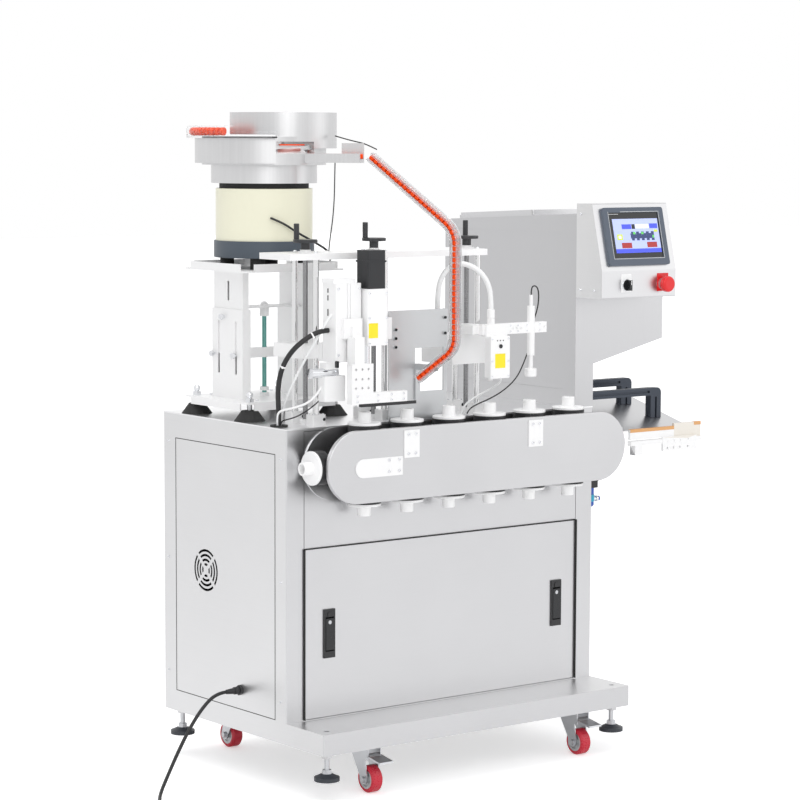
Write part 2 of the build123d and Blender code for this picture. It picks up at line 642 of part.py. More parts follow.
def sprocket(node, x, tilt):
    """A toothed wheel with its shaft, a wrap of chain and the holder on it."""
    radius = CHAIN_R - CHAIN_HALF - 0.5
    half = CHAIN_WIDTH / 2
    wheel = rod("y", (x, CHAIN_Y - half, CHAIN_Z), CHAIN_WIDTH, radius)
    teeth = 12
    for i in range(teeth):
        a = 2 * math.pi * (i + 0.5) / teeth
        wheel = wheel - rod("y", (x + radius * math.cos(a), CHAIN_Y - half - 1,
                                  CHAIN_Z + radius * math.sin(a)), CHAIN_WIDTH + 2, 4)
    shaft_end = -TOUCH if node == "tail_sprocket" else MOTOR_END
    shaft = rod("y", (x, COVER_FRONT + 24, CHAIN_Z), shaft_end - COVER_FRONT - 24, SHAFT_R)
    body = wheel + shaft
    plane = Plane(origin=(x, CHAIN_Y - half, CHAIN_Z), x_dir=(1, 0, 0), z_dir=(0, 1, 0))
    arc = Circle(CHAIN_R + CHAIN_HALF) - Circle(radius - 1)
    side = 1 if tilt > 0 else -1
    keep = Pos(side * 40, 0, 0) * Rectangle(80 - 2 * WRAP_GAP, 200)
    body = body + extrude(plane * (arc & keep), CHAIN_WIDTH)
    place = Pos(x, CHAIN_Y, CHAIN_Z) * Rot(0, tilt, 0)
    one = holder()
    body = body + place * one[0]
    add(node, body, place * one[1], place * one[2])


MOTOR_END = 62.0
WRAP_GAP = 6.0


def conveyor_cover():
    tray = stadium(COVER_R, COVER_FRONT, COVER_FRONT + COVER_RIM)
    front_edges = [e for e in tray.edges() if abs(e.center().Y - COVER_FRONT) < 0.01]
    tray = fillet(front_edges, 2.0)
    tray = tray - stadium(COVER_R - SHEET, COVER_FRONT + SHEET, COVER_FRONT + COVER_RIM + 1)
    add("conveyor_cover", tray)
    low = COVER_FRONT - BRACKET_THICK
    long_plate = block(148, 263, low, COVER_FRONT, CHAIN_Z - 25, CHAIN_Z + 19)
    long_plate = long_plate + rod("y", (148, low, CHAIN_Z - 3), BRACKET_THICK, 22)
    add("conveyor_cover", long_plate)
    for x in BRACKET_X:
        add("conveyor_cover", block(x, x + 45, low, COVER_FRONT, CHAIN_Z + 14, CHAIN_Z + 79))


BRACKET_THICK = 3.0
BRACKET_X = (268.0, 652.0)


# Back plate on the cabinet's front, chain guides, stand-offs, bearings
def conveyor_frame():
    back = stadium(COVER_R, -BACK_PLATE, 0)
    parts = [back]
    x0, x1 = CHAIN_CENTRES
    for z0, z1 in ((24, 35), (-35, -24)):
        parts.append(block(x0 + 60, x1 - 60, CHAIN_Y - 6, CHAIN_Y + 6, CHAIN_Z + z0, CHAIN_Z + z1))
        for x in STANDOFF_X:
            parts.append(block(x - 10, x + 10, CHAIN_Y, -BACK_PLATE, CHAIN_Z + z0, CHAIN_Z + z1))
    for x in STANDOFF_X:
        parts.append(rod("y", (x + 30, COVER_FRONT + SHEET, CHAIN_Z),
                         -BACK_PLATE - COVER_FRONT - SHEET, 8))
    for x in CHAIN_CENTRES:
        parts.append(rod("y", (x, -BACK_PLATE - 12, CHAIN_Z), 12, 24))
    body = union(parts)
    for x in CHAIN_CENTRES:
        body = body - rod("y", (x, -30, CHAIN_Z), 40, SHAFT_R + RUNNING)
    add("conveyor_frame", body)


STANDOFF_X = (220.0, 480.0, 740.0)


def conveyor_gearmotor():
    x = CHAIN_CENTRES[1]
    y0 = TRAY_DEPTH + SHEET
    plate = block(x - 45, x + 45, y0, y0 + 5, CHAIN_Z - 55, CHAIN_Z + 55)
    gearbox = block(x - 40, x + 40, y0 + 5, y0 + 62, CHAIN_Z - 40, CHAIN_Z + 40)
    gearbox = fillet(gearbox.edges().filter_by(Axis.Y), 6)
    box = plate + gearbox - rod("y", (x, y0 - 1, CHAIN_Z), MOTOR_END + 3 - y0, SHAFT_R + RUNNING)
    add("conveyor_gearmotor", box)
    motor = rod("y", (x, y0 + 62, CHAIN_Z), 120, 36)
    add("conveyor_gearmotor", motor)


# Tower with its sloped chin and sloped top
def tower_outline(inset):
    """Front outline of the tower, drawn in x and z, moved in by the sheet."""
    x0, x1 = TOWER_X
    low, high = TOWER_CHIN_Z
    leg = TOWER_LEG_X
    return [(x0 + inset, DECK + (0 if inset == 0 else -1)), (leg - inset, DECK - (1 if inset else 0)),
            (leg - inset, low + inset * 0.8), (x1 - inset, high + inset * 0.8),
            (x1 - inset, TOWER_TOP + 50), (x0 + inset, TOWER_TOP + 50)]


def tower_side(inset):
    """Side outline of the tower, drawn in y and z."""
    return [(inset, DECK - 2), (CABINET_DEPTH - inset, DECK - 2),
            (CABINET_DEPTH - inset, TOWER_TOP - TOWER_REAR_DROP - inset), (inset, TOWER_TOP - inset)]


def tower_solid(inset):
    front = prism(Plane(origin=(0, 0, 0), x_dir=(1, 0, 0), z_dir=(0, -1, 0)),
                  tower_outline(inset), -CABINET_DEPTH)
    side = prism(Plane(origin=(TOWER_X[0], 0, 0), x_dir=(0, 1, 0), z_dir=(1, 0, 0)),
                 tower_side(inset), TOWER_X[1] - TOWER_X[0])
    return front & side


def lid_slope():
    return -math.degrees(math.atan(TOWER_REAR_DROP / CABINET_DEPTH))


def tower_top_z(y):
    """Height of the tower's sloped top at a given y."""
    return TOWER_TOP - TOWER_REAR_DROP * y / CABINET_DEPTH


def tower_shell():
    shell = tower_solid(0) - tower_solid(SHEET)
    x0 = TOWER_X[0]
    y1 = CABINET_DEPTH - TOWER_BORDER
    z0 = DECK + TOWER_FOOT
    z1 = TOWER_TOP - TOWER_BORDER
    shell = shell - block(x0 - 1, x0 + SHEET + 1, TOWER_BORDER, y1, z0, z1)
    cx = (TOWER_X[0] + TOWER_X[1]) / 2
    w, d = LID_SIZE
    mouth = block(cx - w / 2 + 20, cx + w / 2 - 20, LID_Y + 20, LID_Y + d - 20,
                  TOWER_TOP - 60, TOWER_TOP + 20)
    shell = shell - mouth
    add("tower_shell", shell)
    inset = block(x0 + TOWER_RECESS, x0 + TOWER_RECESS + SHEET, TOWER_BORDER, y1, z0, z1)
    rim = block(x0 + SHEET, x0 + TOWER_RECESS + SHEET, TOWER_BORDER - 12, y1 + 12, z0 - 12, z1 + 12)
    rim = rim - block(x0, x0 + 12, TOWER_BORDER, y1, z0, z1)
    add("tower_shell", inset + rim)
    tilt = Pos(cx, LID_Y + d, tower_top_z(LID_Y + d)) * Rot(lid_slope(), 0, 0)
    lid = Pos(0, -d / 2, LID_THICK / 2 + 3) * Box(w, d, LID_THICK)
    lid = fillet(lid.edges().filter_by(Axis.Z), 8)
    lid = lid - Pos(0, -d / 2, 3 + LID_THICK / 2 - SHEET) * Box(w - 4, d - 4, LID_THICK)
    seal = Pos(0, -d / 2, 1.5) * (Box(w, d, 3) - Box(w - 24, d - 24, 4))
    barrel = rod("x", (-w / 2 + 20, HINGE_OFFSET, 4), w - 40, 4)
    leaf = block(-w / 2 + 20, w / 2 - 20, -8, HINGE_OFFSET, 3 + LID_THICK - SHEET, 3 + LID_THICK)
    leaf = leaf + block(-w / 2 + 20, w / 2 - 20, HINGE_OFFSET - 2, HINGE_OFFSET + 1.5, 5,
                        3 + LID_THICK)
    pin_bore = rod("x", (-w / 2, HINGE_OFFSET, 4), w, 2 + RUNNING)
    add("tower_lid", tilt * (lid + leaf + barrel - pin_bore), tilt * seal)
    ears = []
    for side in (-1, 1):
        x = side * (w / 2 - 15)
        ears.append(block(x - 4.5, x + 4.5, HINGE_OFFSET - 4, HINGE_OFFSET + 6, 0, 9))
    pin = rod("x", (-w / 2 + 12, HINGE_OFFSET, 4), w - 24, 2)
    add("tower_shell", tilt * union(ears + [pin]))


TOWER_FOOT = 42.0
HINGE_OFFSET = 7.0


def hinge_point():
    """The lid's hinge line, at the middle of its pin."""
    spot = Pos(0, LID_Y + LID_SIZE[1], tower_top_z(LID_Y + LID_SIZE[1])) * Rot(
        lid_slope(), 0, 0) * Pos(0, HINGE_OFFSET, 4)
    return (spot.position.X + sum(TOWER_X) / 2, spot.position.Y, spot.position.Z)


# Operator box
def slant():
    """The slanted front's plane: local x along the box, local y up the slope."""
    low, high = BOX_Z[1], BOX_Z[2]
    rise = Vector(0, BOX_DEPTH[0] - BOX_DEPTH[1], high - low).normalized()
    middle = Vector(sum(BOX_X) / 2, -(BOX_DEPTH[0] + BOX_DEPTH[1]) / 2, (low + high) / 2)
    return Plane(origin=middle, x_dir=(1, 0, 0), z_dir=Vector(1, 0, 0).cross(rise))


def hmi():
    x0, x1 = BOX_X
    low, knee, high = BOX_Z
    deep, shallow = BOX_DEPTH

    def profile(inset):
        return [(0 - inset, low + inset), (-deep + inset, low + inset), (-deep + inset, knee),
                (-shallow + inset, high - inset), (0 - inset, high - inset)]
    outer = prism(Plane(origin=(x0, 0, 0), x_dir=(0, 1, 0), z_dir=(1, 0, 0)), profile(0), x1 - x0)
    outer = fillet(outer.edges().filter_by(Axis.X).sort_by(Axis.Y)[:3], 3.0)
    inner = prism(Plane(origin=(x0 + SHEET, 0, 0), x_dir=(0, 1, 0), z_dir=(1, 0, 0)),
                  profile(SHEET), x1 - x0 - 2 * SHEET)
    box = outer - inner
    sw, sh = SCREEN_SIZE
    face = slant()
    box = box - extrude(face * Rectangle(sw - 14, sh - 14), 10, both=True)
    for x in (KNOB_X, STOP_X):
        box = box - rod("y", (x, -deep - 5, CONTROL_Z), 12, BUTTON_R + RUNNING)
    add("hmi_housing", box)
    bezel = extrude(face * RectangleRounded(sw, sh, 6), SCREEN_THICK)
    bezel = bezel - extrude(face * Pos(0, 3) * Rectangle(sw - 2 * SCREEN_BORDER - 10,
                                                         sh - 2 * SCREEN_BORDER - 6), 20)
    body = extrude(face * Rectangle(sw - 16, sh - 16), -30)
    add("hmi_panel", bezel + body)
    glass = extrude(face * Pos(0, 3) * Rectangle(sw - 2 * SCREEN_BORDER - 10.5,
                                                 sh - 2 * SCREEN_BORDER - 6.5), SCREEN_THICK - 2)
    add("hmi_panel", glass)
    for x, half, up in ((KNOB_X, 17, 28), (STOP_X, 19, 27)):
        plate = block(x - half, x + half, -deep - 1, -deep, CONTROL_Z - 18, CONTROL_Z + up)
        plate = plate - rod("y", (x, -deep - 3, CONTROL_Z), 5, BUTTON_R + RUNNING)
        add("hmi_housing", plate)
    knob = rod("y", (KNOB_X, -deep - 7, CONTROL_Z), 6, 14)
    knob = knob + rod("y", (KNOB_X, -deep - 1.3, CONTROL_Z), 30, BUTTON_R)
    grip = block(KNOB_X - 3.5, KNOB_X + 3.5, -deep - 20, -deep - 6, CONTROL_Z - 13, CONTROL_Z + 13)
    add("selector_knob", knob + grip)
    collar = rod("y", (STOP_X, -deep - 6, CONTROL_Z), 5, 15) - rod(
        "y", (STOP_X, -deep - 8, CONTROL_Z), 9, BUTTON_R + RUNNING)
    add("hmi_housing", collar)
    cap = rod("y", (STOP_X, -deep - 28, CONTROL_Z), 14, 20)
    cap = fillet(cap.edges().filter_by(GeomType.CIRCLE).sort_by(Axis.Y)[:1], 6)
    neck = rod("y", (STOP_X, -deep - 16, CONTROL_Z), 42, BUTTON_R)
    add("estop_button", cap + neck)


BUTTON_R = 11.0


def dosing_pump():
    z = TOWER_CHIN_Z[1] + 20
    foot = block(960, 1120, 160, 330, z, z + 8)
    legs = [block(960, 970, 160, 330, z - 46, z + 4)]
    head = rod("y", (1045, 170, z + 74), 60, 55)
    motor = rod("y", (1045, 230, z + 74), 130, 42)
    cradle = block(1000, 1090, 175, 325, z + 8, z + 44)
    add("dosing_pump", union([foot] + legs + [cradle, head, motor]))
    bracket = block(TOWER_X[0] + TOWER_RECESS + SHEET, 962, 160, 330, z - 46, z - 36)
    add("dosing_pump", bracket)


# Post stations
def station_frame():
    for x in STATION_X:
        for y in POST_Y:
            post = rod("z", (x, y, DECK + 2), BRIDGE_Z - DECK - 2, POST_R)
            add("station_posts", post)
            w, d, h = CLAMP_SIZE
            foot = block(x - w / 2, x + w / 2, y - d / 2, y + d / 2, DECK, DECK + h)
            foot = fillet(foot.edges().filter_by(Axis.Z), 3)
            foot = foot - rod("z", (x, y, DECK + 2), h, POST_R)
            foot = foot - block(x + POST_R - 1, x + w, y - 1, y + 1, DECK + 6, DECK + h + 1)
            foot = foot - rod("y", (x + w / 2 - 6, y - d / 2 - 1, DECK + h / 2 + 2), 7, 4)
            bolt = rod("y", (x + w / 2 - 6, y - d / 2 - 0.5, DECK + h / 2 + 2), 6.5, 4)
            add("station_posts", foot, bolt)
        mid = sum(POST_Y) / 2
        seat = rod("z", (x, mid, DECK), BEARING_HEIGHT, 14)
        seat = seat - rod("z", (x, mid, DECK + 3), BEARING_HEIGHT, SCREW_R + RUNNING)
        add("station_posts", seat)
    x0, x1 = BRIDGE_X
    y0, y1 = BRIDGE_Y
    bridge = block(x0, x1, y0, y1, BRIDGE_Z, BRIDGE_Z + BRIDGE_THICK)
    mid = sum(POST_Y) / 2
    for x in STATION_X:
        bridge = bridge - rod("z", (x, mid, BRIDGE_Z - 1), BRIDGE_THICK + 2, SCREW_R + RUNNING)
    add("top_bridge", bridge)
    for x in STATION_X:
        flange = rod("z", (x, mid, BRIDGE_Z + BRIDGE_THICK), 7, 13)
        flange = flange + rod("z", (x, mid, BRIDGE_Z + BRIDGE_THICK), 3, 19)
        flange = flange - rod("z", (x, mid, BRIDGE_Z), BRIDGE_THICK + 20, SCREW_R + RUNNING)
        add("top_bridge", flange)


def handwheels():
    mid = sum(POST_Y) / 2
    hub_z = BRIDGE_Z + BRIDGE_THICK + 7 + TOUCH
    for i, x in enumerate(STATION_X, 1):
        screw = rod("z", (x, mid, DECK + 3), hub_z - DECK, SCREW_R)
        hub = rod("z", (x, mid, hub_z), 16, 11)
        disc_z = hub_z + 16
        disc = rod("z", (x, mid, disc_z), WHEEL_DISC_THICK, WHEEL_DISC_R)
        disc = fillet(disc.edges().filter_by(GeomType.CIRCLE), 2)
        a = math.radians(GRIP_ANGLES[i - 1])
        gx = x + GRIP_OFFSET * math.cos(a)
        gy = mid + GRIP_OFFSET * math.sin(a)
        grip = rod("z", (gx, gy, disc_z + WHEEL_DISC_THICK - 1), GRIP_HEIGHT, GRIP_R)
        grip = fillet(grip.edges().filter_by(GeomType.CIRCLE).sort_by(Axis.Z)[-1:], 2)
        add(f"handwheel_{i}", union([screw, hub, disc, grip]))


GRIP_ANGLES = (142.0, 142.0, 60.0)


def carriage(x, z0, z1, x0, x1):
    """A block that slides on both posts of a station, bored for posts and screw."""
    y0, y1 = CARRIAGE_Y
    body = block(x0, x1, y0, y1, z0, z1)
    for y in POST_Y:
        body = body - rod("z", (x, y, z0 - 1), z1 - z0 + 2, POST_R + RUNNING)
    mid = sum(POST_Y) / 2
    return body - rod("z", (x, mid, z0 - 1), z1 - z0 + 2, SCREW_R + RUNNING)


# Station 1: linear module with a gripper, guide bar and a small cylinder
def gripper_head():
    x = STATION_X[0]
    z0, z1 = GRIPPER_CARRIAGE_Z
    body = carriage(x, z0, z1, x - 46, x + CARRIAGE_HALF)
    plate = block(MODULE_X[0], MODULE_X[1] - 10, MODULE_Y[1], CARRIAGE_Y[0], z0 - 6, z1 + 6)
    body = body + plate
    add("gripper_head", body)
    mx0, mx1 = MODULE_X
    my0, my1 = MODULE_Y
    mz0, mz1 = MODULE_Z
    module = block(mx0, mx1, my0, my1, mz0, mz1)
    module = fillet(module.edges().filter_by(Axis.Z), 3)
    for gx in (mx0 + 32, mx0 + 40):
        module = module - block(gx - 2, gx + 2, my0 - 1, my0 + 3, mz0 - 1, mz1 + 1)
    cap = block(mx0 - 4, mx1 - 14, my0 + 6, my1 - 2, mz1, mz1 + 11)
    foot = block(mx0, mx1, my0, my1, mz0 - 6, mz0)
    add("gripper_head", module, cap, foot)
    slider = block(mx0 + 14, mx1 - 6, my0 - 12, my0 - SLIDE_GAP, mz0 + 50, mz0 + 96)
    slider = slider + block(mx1 - 40, mx1 - 16, my0 - 20, my0 - 12, mz0 + 28, mz0 + 78)
    jx0, jx1 = JAW_X
    jy0, jy1 = JAW_Y
    stem = block(jx0 + 8, jx1 - 26, jy0, my0 - 8, mz0 - 12, mz0 + 54)
    jaw_plate = block(jx0, jx1, jy0, jy1, mz0 - 78, mz0 - 9)
    for hx in (jx0 + 12, jx0 + 30, jx0 + 48):
        for hz in (mz0 - 65, mz0 - 44, mz0 - 21):
            jaw_plate = jaw_plate - rod("y", (hx, jy0 - 1, hz), 8, 3.2)
    bar = block(jx0, jx0 + 162, jy0, jy1 - 2, mz0 - 102, mz0 - 77)
    blade = block(jx0 + 30, jx0 + 192, jy0 + 4, jy0 + 14, mz0 - 110, mz0 - 102)
    add("gripper_jaws", union([slider, stem, jaw_plate, bar]), blade)
    tank_y = my0 + 22
    tank_z = mz0 - 30
    tank = rod("x", (52, tank_y, tank_z), 66, 11)
    for end in (48, 114):
        tank = tank + rod("x", (end, tank_y, tank_z), 8, 12.5)
    lug = block(84, 122, my0 + 10, my0 + 34, tank_z + 8, mz0 - 6)
    plinth = block(78, 138, my0 + 6, my0 + 30, tank_z - 67, tank_z - 7)
    body = union([tank, lug, plinth])
    add("gripper_head", body)


GRIPPER_CARRIAGE_Z = (DECK + 160.0, DECK + 192.0)
MODULE_X = (107.0, 180.0)
MODULE_Y = (-50.0, 6.0)
MODULE_Z = (DECK + 160.0, DECK + 338.0)
SLIDE_GAP = 0.1
JAW_X = (125.0, 187.0)
JAW_Y = (-88.0, -66.0)


# Station 2: motor, cover box and the capping spindle over the first holder
def capping_head():
    x = STATION_X[1]
    axis_x = holder_places()[0]
    z0, z1 = CAPPING_CARRIAGE_Z
    body = carriage(x, z0, z1, x - CARRIAGE_HALF, x + CARRIAGE_HALF)
    body = body + block(CAP_BOX_X[0] + 10, x - 15, CAP_BOX_Y[1], CARRIAGE_Y[0] + 4, z0, z1 - 5)
    add("capping_head", body)
    bx0, bx1 = CAP_BOX_X
    by0, by1 = CAP_BOX_Y
    bz0, bz1 = CAP_BOX_Z
    box = block(bx0, bx1, by0, by1, bz0, bz1)
    box = fillet(box.edges().filter_by(Axis.Z), 4)
    bore = rod("z", (axis_x, CHAIN_Y, bz0 - 1), 61, 9 + RUNNING)
    add("capping_head", box - bore)
    mx = (bx0 + bx1) / 2 + 1
    motor_half = 25
    flange = block(mx - 28, mx + 28, by0 + 2, by0 + 56, bz1, bz1 + 4)
    motor = block(mx - motor_half, mx + motor_half, by0 + 4, by0 + 54, bz1 + 4, bz1 + 94)
    motor = fillet(motor.edges().filter_by(Axis.Z), 5)
    end = block(mx - motor_half - 1, mx + motor_half + 1, by0 + 3, by0 + 55, bz1 + 66, bz1 + 70)
    add("capping_head", union([flange, motor, end]))
    shaft = rod("z", (axis_x, CHAIN_Y, CHUCK_Z + 40), bz0 + 50 - CHUCK_Z - 40, 9)
    sleeve = rod("z", (axis_x, CHAIN_Y, CHUCK_Z + 24), bz0 - 2 - CHUCK_Z - 24, 12)
    cup = rod("z", (axis_x, CHAIN_Y, CHUCK_Z), 26, 15)
    cup = cup - rod("z", (axis_x, CHAIN_Y, CHUCK_Z - 1), 13, 10)
    add("capping_chuck", union([shaft, sleeve, cup]))


CAPPING_CARRIAGE_Z = (DECK + 200.0, DECK + 256.0)
CAP_BOX_X = (184.0, 243.0)
CAP_BOX_Y = (-70.0, -14.0)
CAP_BOX_Z = (DECK + 191.0, DECK + 320.0)
CHUCK_Z = DECK + 93.0


# Station 3: arm bar with the filling nozzle, valve box and probe
def filling_head():
    x = STATION_X[2]
    z0, z1 = FILL_CARRIAGE_Z
    body = carriage(x, z0, z1, x - 88, x + CARRIAGE_HALF)
    hx, hy, hz = HOSE_END
    shelf = block(hx - 12, x - 88, CARRIAGE_Y[0], hy + 12, z1 - 8, z1)
    add("filling_head", body + shelf)
    union_nut = hexagon("z", (hx, hy, z1), 8, 20) + rod("z", (hx, hy, z1 + 8), hz - z1 - 8, 8.5)
    add("filling_head", union_nut)
    holders = holder_places()
    nozzle_x = holders[3] + 2
    probe_x = holders[4] + 3
    az0, az1 = ARM_Z
    ay0, ay1 = ARM_Y
    link = block(x - 74, x - 30, ay1 - 2, CARRIAGE_Y[0], az0 + 2, az1 - 2)
    lift = block(x - 74, x - 30, CARRIAGE_Y[0] - 8, CARRIAGE_Y[0], z1 - 20, az1 - 2)
    lift = lift + block(x - 74, x - 30, CARRIAGE_Y[0], CARRIAGE_Y[0] + 12, z1, az1 - 2)
    arm = block(ARM_X[0], ARM_X[1], ay0, ay1, az0, az1)
    heavy = block(ARM_X[0] + 8, ARM_X[0] + 74, ay0 - 6, ay1, az0 - 3, az1)
    arm = union([arm, heavy, link, lift])
    arm = arm - rod("z", (nozzle_x, CHAIN_Y, az0 - 10), 60, 6)
    arm = arm - rod("z", (probe_x, CHAIN_Y, az0 - 10), 60, PROBE_R)
    for bx in (ARM_X[0] + 96, ARM_X[0] + 108, ARM_X[0] + 122, ARM_X[1] - 8):
        arm = arm - rod("y", (bx, ay0 - 1, (az0 + az1) / 2), 4, 3)
    add("filling_head", arm)
    pipe = rod("z", (nozzle_x, CHAIN_Y, NOZZLE_TIP), az1 + 6 - NOZZLE_TIP, 6)
    fitting = hexagon("z", (nozzle_x, CHAIN_Y, az1), 14, 17)
    sleeve = rod("z", (nozzle_x, CHAIN_Y, az1 + 14), HOSE_FOOT - az1 - 14, 9.5)
    sleeve = chamfer(sleeve.edges().filter_by(GeomType.CIRCLE), 1.5)
    pipe = union([pipe, fitting, sleeve]) - rod("z", (nozzle_x, CHAIN_Y, NOZZLE_TIP - 1), 60, 4)
    add("filling_head", pipe)
    bx0, bx1 = VALVE_X
    by0 = VALVE_Y
    box = block(bx0, bx1, by0, ay0 - 6, VALVE_Z[0], VALVE_Z[1])
    box = fillet(box.edges().filter_by(Axis.Y), 3)
    button = rod("y", ((bx0 + bx1) / 2 + 1, by0 - 2, VALVE_Z[1] - 24), 2, 5)
    add("filling_head", box + button)
    probe = rod("z", (probe_x, CHAIN_Y, PROBE_FOOT + 53), 122, PROBE_R)
    thin = rod("z", (probe_x, CHAIN_Y, PROBE_FOOT + 175), 27, 4.5)
    lower = rod("z", (probe_x, CHAIN_Y, PROBE_FOOT + 20), 34, 5.5)
    foot = rod("z", (probe_x, CHAIN_Y, PROBE_FOOT), 21, 15)
    foot = chamfer(foot.edges().filter_by(GeomType.CIRCLE), 1.5)
    add("filling_head", union([probe, thin, lower, foot]))


FILL_CARRIAGE_Z = (DECK + 125.0, DECK + 194.0)
ARM_X = (543.0, 748.0)
ARM_Y = (-53.0, -37.0)
ARM_Z = (DECK + 200.0, DECK + 226.0)
NOZZLE_TIP = DECK + 88.0
HOSE_FOOT = DECK + 262.0
VALVE_X = (546.0, 606.0)
VALVE_Y = -82.0
VALVE_Z = (DECK + 96.0, DECK + 198.0)
PROBE_R = 9.5
PROBE_FOOT = DECK + 91.0


# Cap bowl stand
def stand_tray(z0, down):
    """A shallow folded plate with notched corners. down turns its rim below its face."""
    w, d = STAND_SIZE
    body = block(BOWL_X - w / 2, BOWL_X + w / 2, BOWL_Y - d / 2, BOWL_Y + d / 2, z0, z0 + PLATE_DEEP)
    body = fillet(body.edges().filter_by(Axis.Z), 5)
    hollow_z = z0 - 1 if down else z0 + PLATE_SHEET
    hollow = block(BOWL_X - w / 2 + PLATE_SHEET, BOWL_X + w / 2 - PLATE_SHEET,
                   BOWL_Y - d / 2 + PLATE_SHEET, BOWL_Y + d / 2 - PLATE_SHEET,
                   hollow_z, hollow_z + PLATE_DEEP - PLATE_SHEET + 1)
    body = body - hollow
    cut_z = z0 - 1 if down else z0 + PLATE_SHEET
    for i in (-1, 1):
        for j in (-1, 1):
            cx = BOWL_X + i * w / 2
            cy = BOWL_Y + j * d / 2
            body = body - block(cx - NOTCH, cx + NOTCH, cy - NOTCH, cy + NOTCH, cut_z,
                                cut_z + PLATE_DEEP - PLATE_SHEET + 1)
    return body


def mount_places():
    w, d = MOUNT_SPACING
    return [(BOWL_X + i * w / 2, BOWL_Y + j * d / 2) for i in (-1, 1) for j in (-1, 1)]


def bowl_stand():
    base_z = DECK + MOUNT_HEIGHT
    top = base_z + PLATE_DEEP
    w, d = STAND_SIZE
    tray = stand_tray(base_z, True)
    solids = [tray]
    for side in (-1, 1):
        outer = BOWL_X + side * (w / 2 - COLUMN_INSET)
        inner = outer - side * COLUMN_X
        x0, x1 = min(outer, inner), max(outer, inner)
        half = COLUMN_Y / 2
        column = block(x0, x1, BOWL_Y - half, BOWL_Y + half, top, COLUMN_SPLIT)
        hollow = block(x0 + COLUMN_WALL, x1 - COLUMN_WALL, BOWL_Y - half + COLUMN_WALL,
                       BOWL_Y + half - COLUMN_WALL, top - 1, COLUMN_SPLIT + 1)
        column = column - hollow
        for y in (BOWL_Y - 37, BOWL_Y + 37):
            column = column - block(outer - 4, outer + 4, y - 4, y + 4, top + 60, COLUMN_SPLIT - 30)
        solids.append(column)
    inner_half = w / 2 - COLUMN_INSET - COLUMN_X
    bar_z = top + 96
    crossbar = block(BOWL_X - inner_half, BOWL_X + inner_half, BOWL_Y - 12, BOWL_Y + 12,
                     bar_z, bar_z + 24)
    crossbar = crossbar - rod("z", (BOWL_X, BOWL_Y, bar_z - 1), 26, ROD_R)
    stand = union(solids + [crossbar])
    stand = stand - rod("z", (BOWL_X, BOWL_Y, base_z - 5), PLATE_DEEP + 10, ROD_R)
    for x, y in mount_places():
        stand = stand - rod("z", (x, y, base_z - 1), PLATE_DEEP + 2, 6)
    add("stand_base", stand)
    screw = rod("z", (BOWL_X, BOWL_Y, base_z - 5), COLUMN_SPLIT - 22 - base_z + 5, ROD_R)
    add("stand_base", screw)
    for z in (top, top + 14):
        nut = hexagon("z", (BOWL_X, BOWL_Y, z), 9, 22) - rod(
            "z", (BOWL_X, BOWL_Y, z - 1), 12, ROD_R)
        add("stand_base", nut)
    for x, y in mount_places():
        rubber = cone((x, y, DECK), MOUNT_HEIGHT, MOUNT_R, 20)
        rubber = rubber - rod("z", (x, y, DECK + 4), MOUNT_HEIGHT, 6)
        bolt = rod("z", (x, y, DECK + 4), MOUNT_HEIGHT + PLATE_DEEP + 14, 6)
        nut = hexagon("z", (x, y, base_z + PLATE_DEEP), 9, 19)
        dome = Pos(x, y, base_z + PLATE_DEEP + 17) * Sphere(8.5)
        bolt = union([bolt, nut, dome])
        add("rubber_mounts", rubber, bolt)


def stand_head():
    """The upper columns and top plate, which are drawn up by the rod."""
    top_z = STAND_TOP - PLATE_DEEP
    tray = stand_tray(top_z, False)
    w = STAND_SIZE[0]
    gap = 0.4
    solids = [tray]
    for side in (-1, 1):
        outer = BOWL_X + side * (w / 2 - COLUMN_INSET - COLUMN_WALL - gap)
        inner = BOWL_X + side * (w / 2 - COLUMN_INSET - COLUMN_X + COLUMN_WALL + gap)
        x0, x1 = min(outer, inner), max(outer, inner)
        half = COLUMN_Y / 2 - COLUMN_WALL - gap
        column = block(x0, x1, BOWL_Y - half, BOWL_Y + half, COLUMN_SPLIT - 110, top_z)
        hollow = block(x0 + COLUMN_WALL, x1 - COLUMN_WALL, BOWL_Y - half + COLUMN_WALL,
                       BOWL_Y + half - COLUMN_WALL, COLUMN_SPLIT - 111, top_z + 1)
        column = column - hollow
        column = column - block(outer - 4, outer + 4, BOWL_Y - 4, BOWL_Y + 4,
                                COLUMN_SPLIT + 20, top_z - 25)
        solids.append(column)
    inner_half = w / 2 - COLUMN_INSET - COLUMN_X / 2
    bridge_z = COLUMN_SPLIT + TOUCH
    bridge = block(BOWL_X - inner_half, BOWL_X + inner_half, BOWL_Y - 30, BOWL_Y + 30,
                   bridge_z, bridge_z + 4)
    solids.append(bridge)
    boss = hexagon("z", (BOWL_X, BOWL_Y, bridge_z - 22), 22, 22)
    boss = boss - rod("z", (BOWL_X, BOWL_Y, bridge_z - 23), 23, ROD_R + RUNNING)
    dome = Pos(BOWL_X, BOWL_Y, bridge_z + 4) * Sphere(10)
    dome = dome - block(BOWL_X - 20, BOWL_X + 20, BOWL_Y - 20, BOWL_Y + 20, bridge_z - 20,
                        bridge_z + 4)
    solids += [boss, dome]
    add("stand_head", union(solids))


